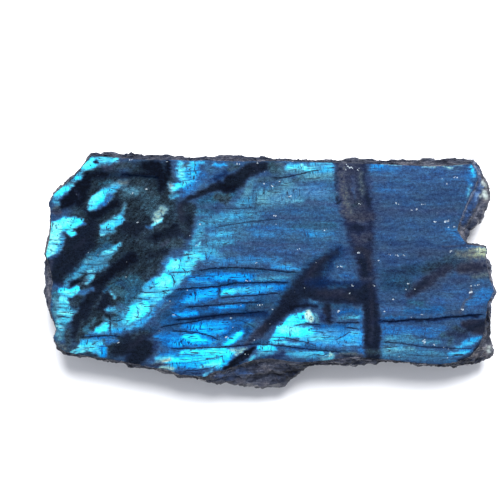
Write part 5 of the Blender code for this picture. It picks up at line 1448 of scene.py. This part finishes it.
def broken_finish():
    """Rough, dark feldspar: dull grey facets, a bluish sheen and pale crusts."""
    finish = Finish("broken_labradorite")
    light, blue, pale = (finish.carried(name) for name in ("light", "blue", "pale"))
    patches = finish.noise(finish.stretched(0.25, 0.25, 0.25), 4)
    mottle = finish.noise(finish.stretched(1.1, 1.1, 1.1), 4, 0.65)
    grain = finish.noise(finish.stretched(4, 4, 4), 2)
    layers = finish.noise(finish.shifted(finish.stretched(0.3, 2.4, 0.5), 0.8, 0.7), 3)
    facets = finish.cells(finish.shifted(finish.stretched(0.4, 0.7, 0.5), 1.4, 0.8), "Color")
    shine = finish.node("ShaderNodeSeparateColor", {}, {"Color": facets}, 0)
    depth = light + 0.4 * patches + 0.55 * mottle + 0.4 * grain + 0.6 * layers + 0.22 * (shine - 0.5)
    grey = finish.ramp(depth, STONE_ROAD)
    brown = finish.mix(patches.step(0.0, 0.2) * 0.3, grey, finish.ramp(depth, EARTH_ROAD))
    bluish = finish.mix(blue + 0.8 * mottle * blue, brown, finish.ramp(depth, SHEEN_ROAD))
    finish.shader_put(
        base_color=finish.mix(pale * (1 + 1.4 * mottle), bluish, PALE_CRUST),
        roughness=0.75 - 0.4 * shine.step(0.6, 0.9),
        normal=finish.bump(mottle + 0.4 * grain + 0.5 * layers, 0.8, 0.6),
    )
    return finish.material


def paper_finish():
    """Plain, matt, pale paper."""
    finish = Finish("pale_paper")
    finish.shader_put(base_color=PAPER, roughness=0.9)
    return finish.material


# -------------------------------------------------------------------------------------------- the setting


CAMERA_CENTRE = (-5.0, 5.25)  # what the camera looks down on
CAMERA_HEIGHT = 347.0  # above the polished face
LENS, SENSOR = 100.0, 36.0

# The room and its lamps, in metres and watts.
CLIP_START = 0.01
FLOOR_SIZE = 3.0
LAMP_ELEVATION = 66.0  # degrees
LAMP_DISTANCE, LAMP_SIDE = 0.9, 0.05  # from the stone, and how far to the right as a share of that
SOFTBOX_SIZE, SOFTBOX_POWER = 0.34, 15.0  # lights everything, without being mirrored
FILL_SIZE, FILL_POWER, FILL_HEIGHT = 1.6, 6.0, 1.1  # straight above: lifts the shadows
SPARK_SIZE, SPARK_POWER = 0.05, 0.6  # mirrored only: a small glint on what faces it
SKY_SHADE, SKY_STRENGTH = (0.8, 0.86, 1.0, 1.0), 0.3


def make_camera():
    """The camera, straight above the stone."""
    data = bpy.data.cameras.new("camera")
    data.lens = LENS
    data.sensor_width = SENSOR
    data.clip_start = CLIP_START
    camera = bpy.data.objects.new("camera", data)
    camera.location = Vector((*CAMERA_CENTRE, TOP + CAMERA_HEIGHT)) * MM
    bpy.context.scene.collection.objects.link(camera)
    bpy.context.scene.camera = camera


def make_lamp(name, size, power, place):
    """A round lamp that faces the stone."""
    data = bpy.data.lights.new(name, "AREA")
    data.shape = "DISK"
    data.size = size
    data.energy = power
    lamp = bpy.data.objects.new(name, data)
    lamp.location = place
    lamp.rotation_euler = lamp.location.to_track_quat("Z", "Y").to_euler()
    bpy.context.scene.collection.objects.link(lamp)
    return lamp


def light_the_stone():
    """A softbox beyond the stone, its small glint in the polish, and a fill from above."""
    tilt = math.radians(90 - LAMP_ELEVATION)
    behind = LAMP_DISTANCE * Vector((LAMP_SIDE, math.sin(tilt), math.cos(tilt)))
    make_lamp("softbox", SOFTBOX_SIZE, SOFTBOX_POWER, behind).visible_glossy = False
    make_lamp("spark", SPARK_SIZE, SPARK_POWER, behind).visible_diffuse = False
    make_lamp("fill", FILL_SIZE, FILL_POWER, Vector((0, 0, FILL_HEIGHT))).visible_glossy = False


def make_room():
    """A pale floor under an even sky."""
    mesh = bmesh.new()
    bmesh.ops.create_grid(mesh, size=FLOOR_SIZE / 2)
    data = bpy.data.meshes.new("floor")
    mesh.to_mesh(data)
    mesh.free()
    data.materials.append(paper_finish())
    floor = bpy.data.objects.new("floor", data)
    bpy.context.scene.collection.objects.link(floor)
    world = bpy.data.worlds.new("even_sky")
    world.use_nodes = True
    background = world.node_tree.nodes["Background"]
    background.inputs["Color"].default_value = SKY_SHADE
    background.inputs["Strength"].default_value = SKY_STRENGTH
    bpy.context.scene.world = world
    bpy.context.scene.view_settings.view_transform = "Standard"


make_camera()
light_the_stone()
make_room()
stone = make_stone()
stone.data.materials.append(polished_finish())
stone.data.materials.append(broken_finish())
bpy.context.scene.collection.objects.link(stone)
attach(stone, "root")
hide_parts(NODE)
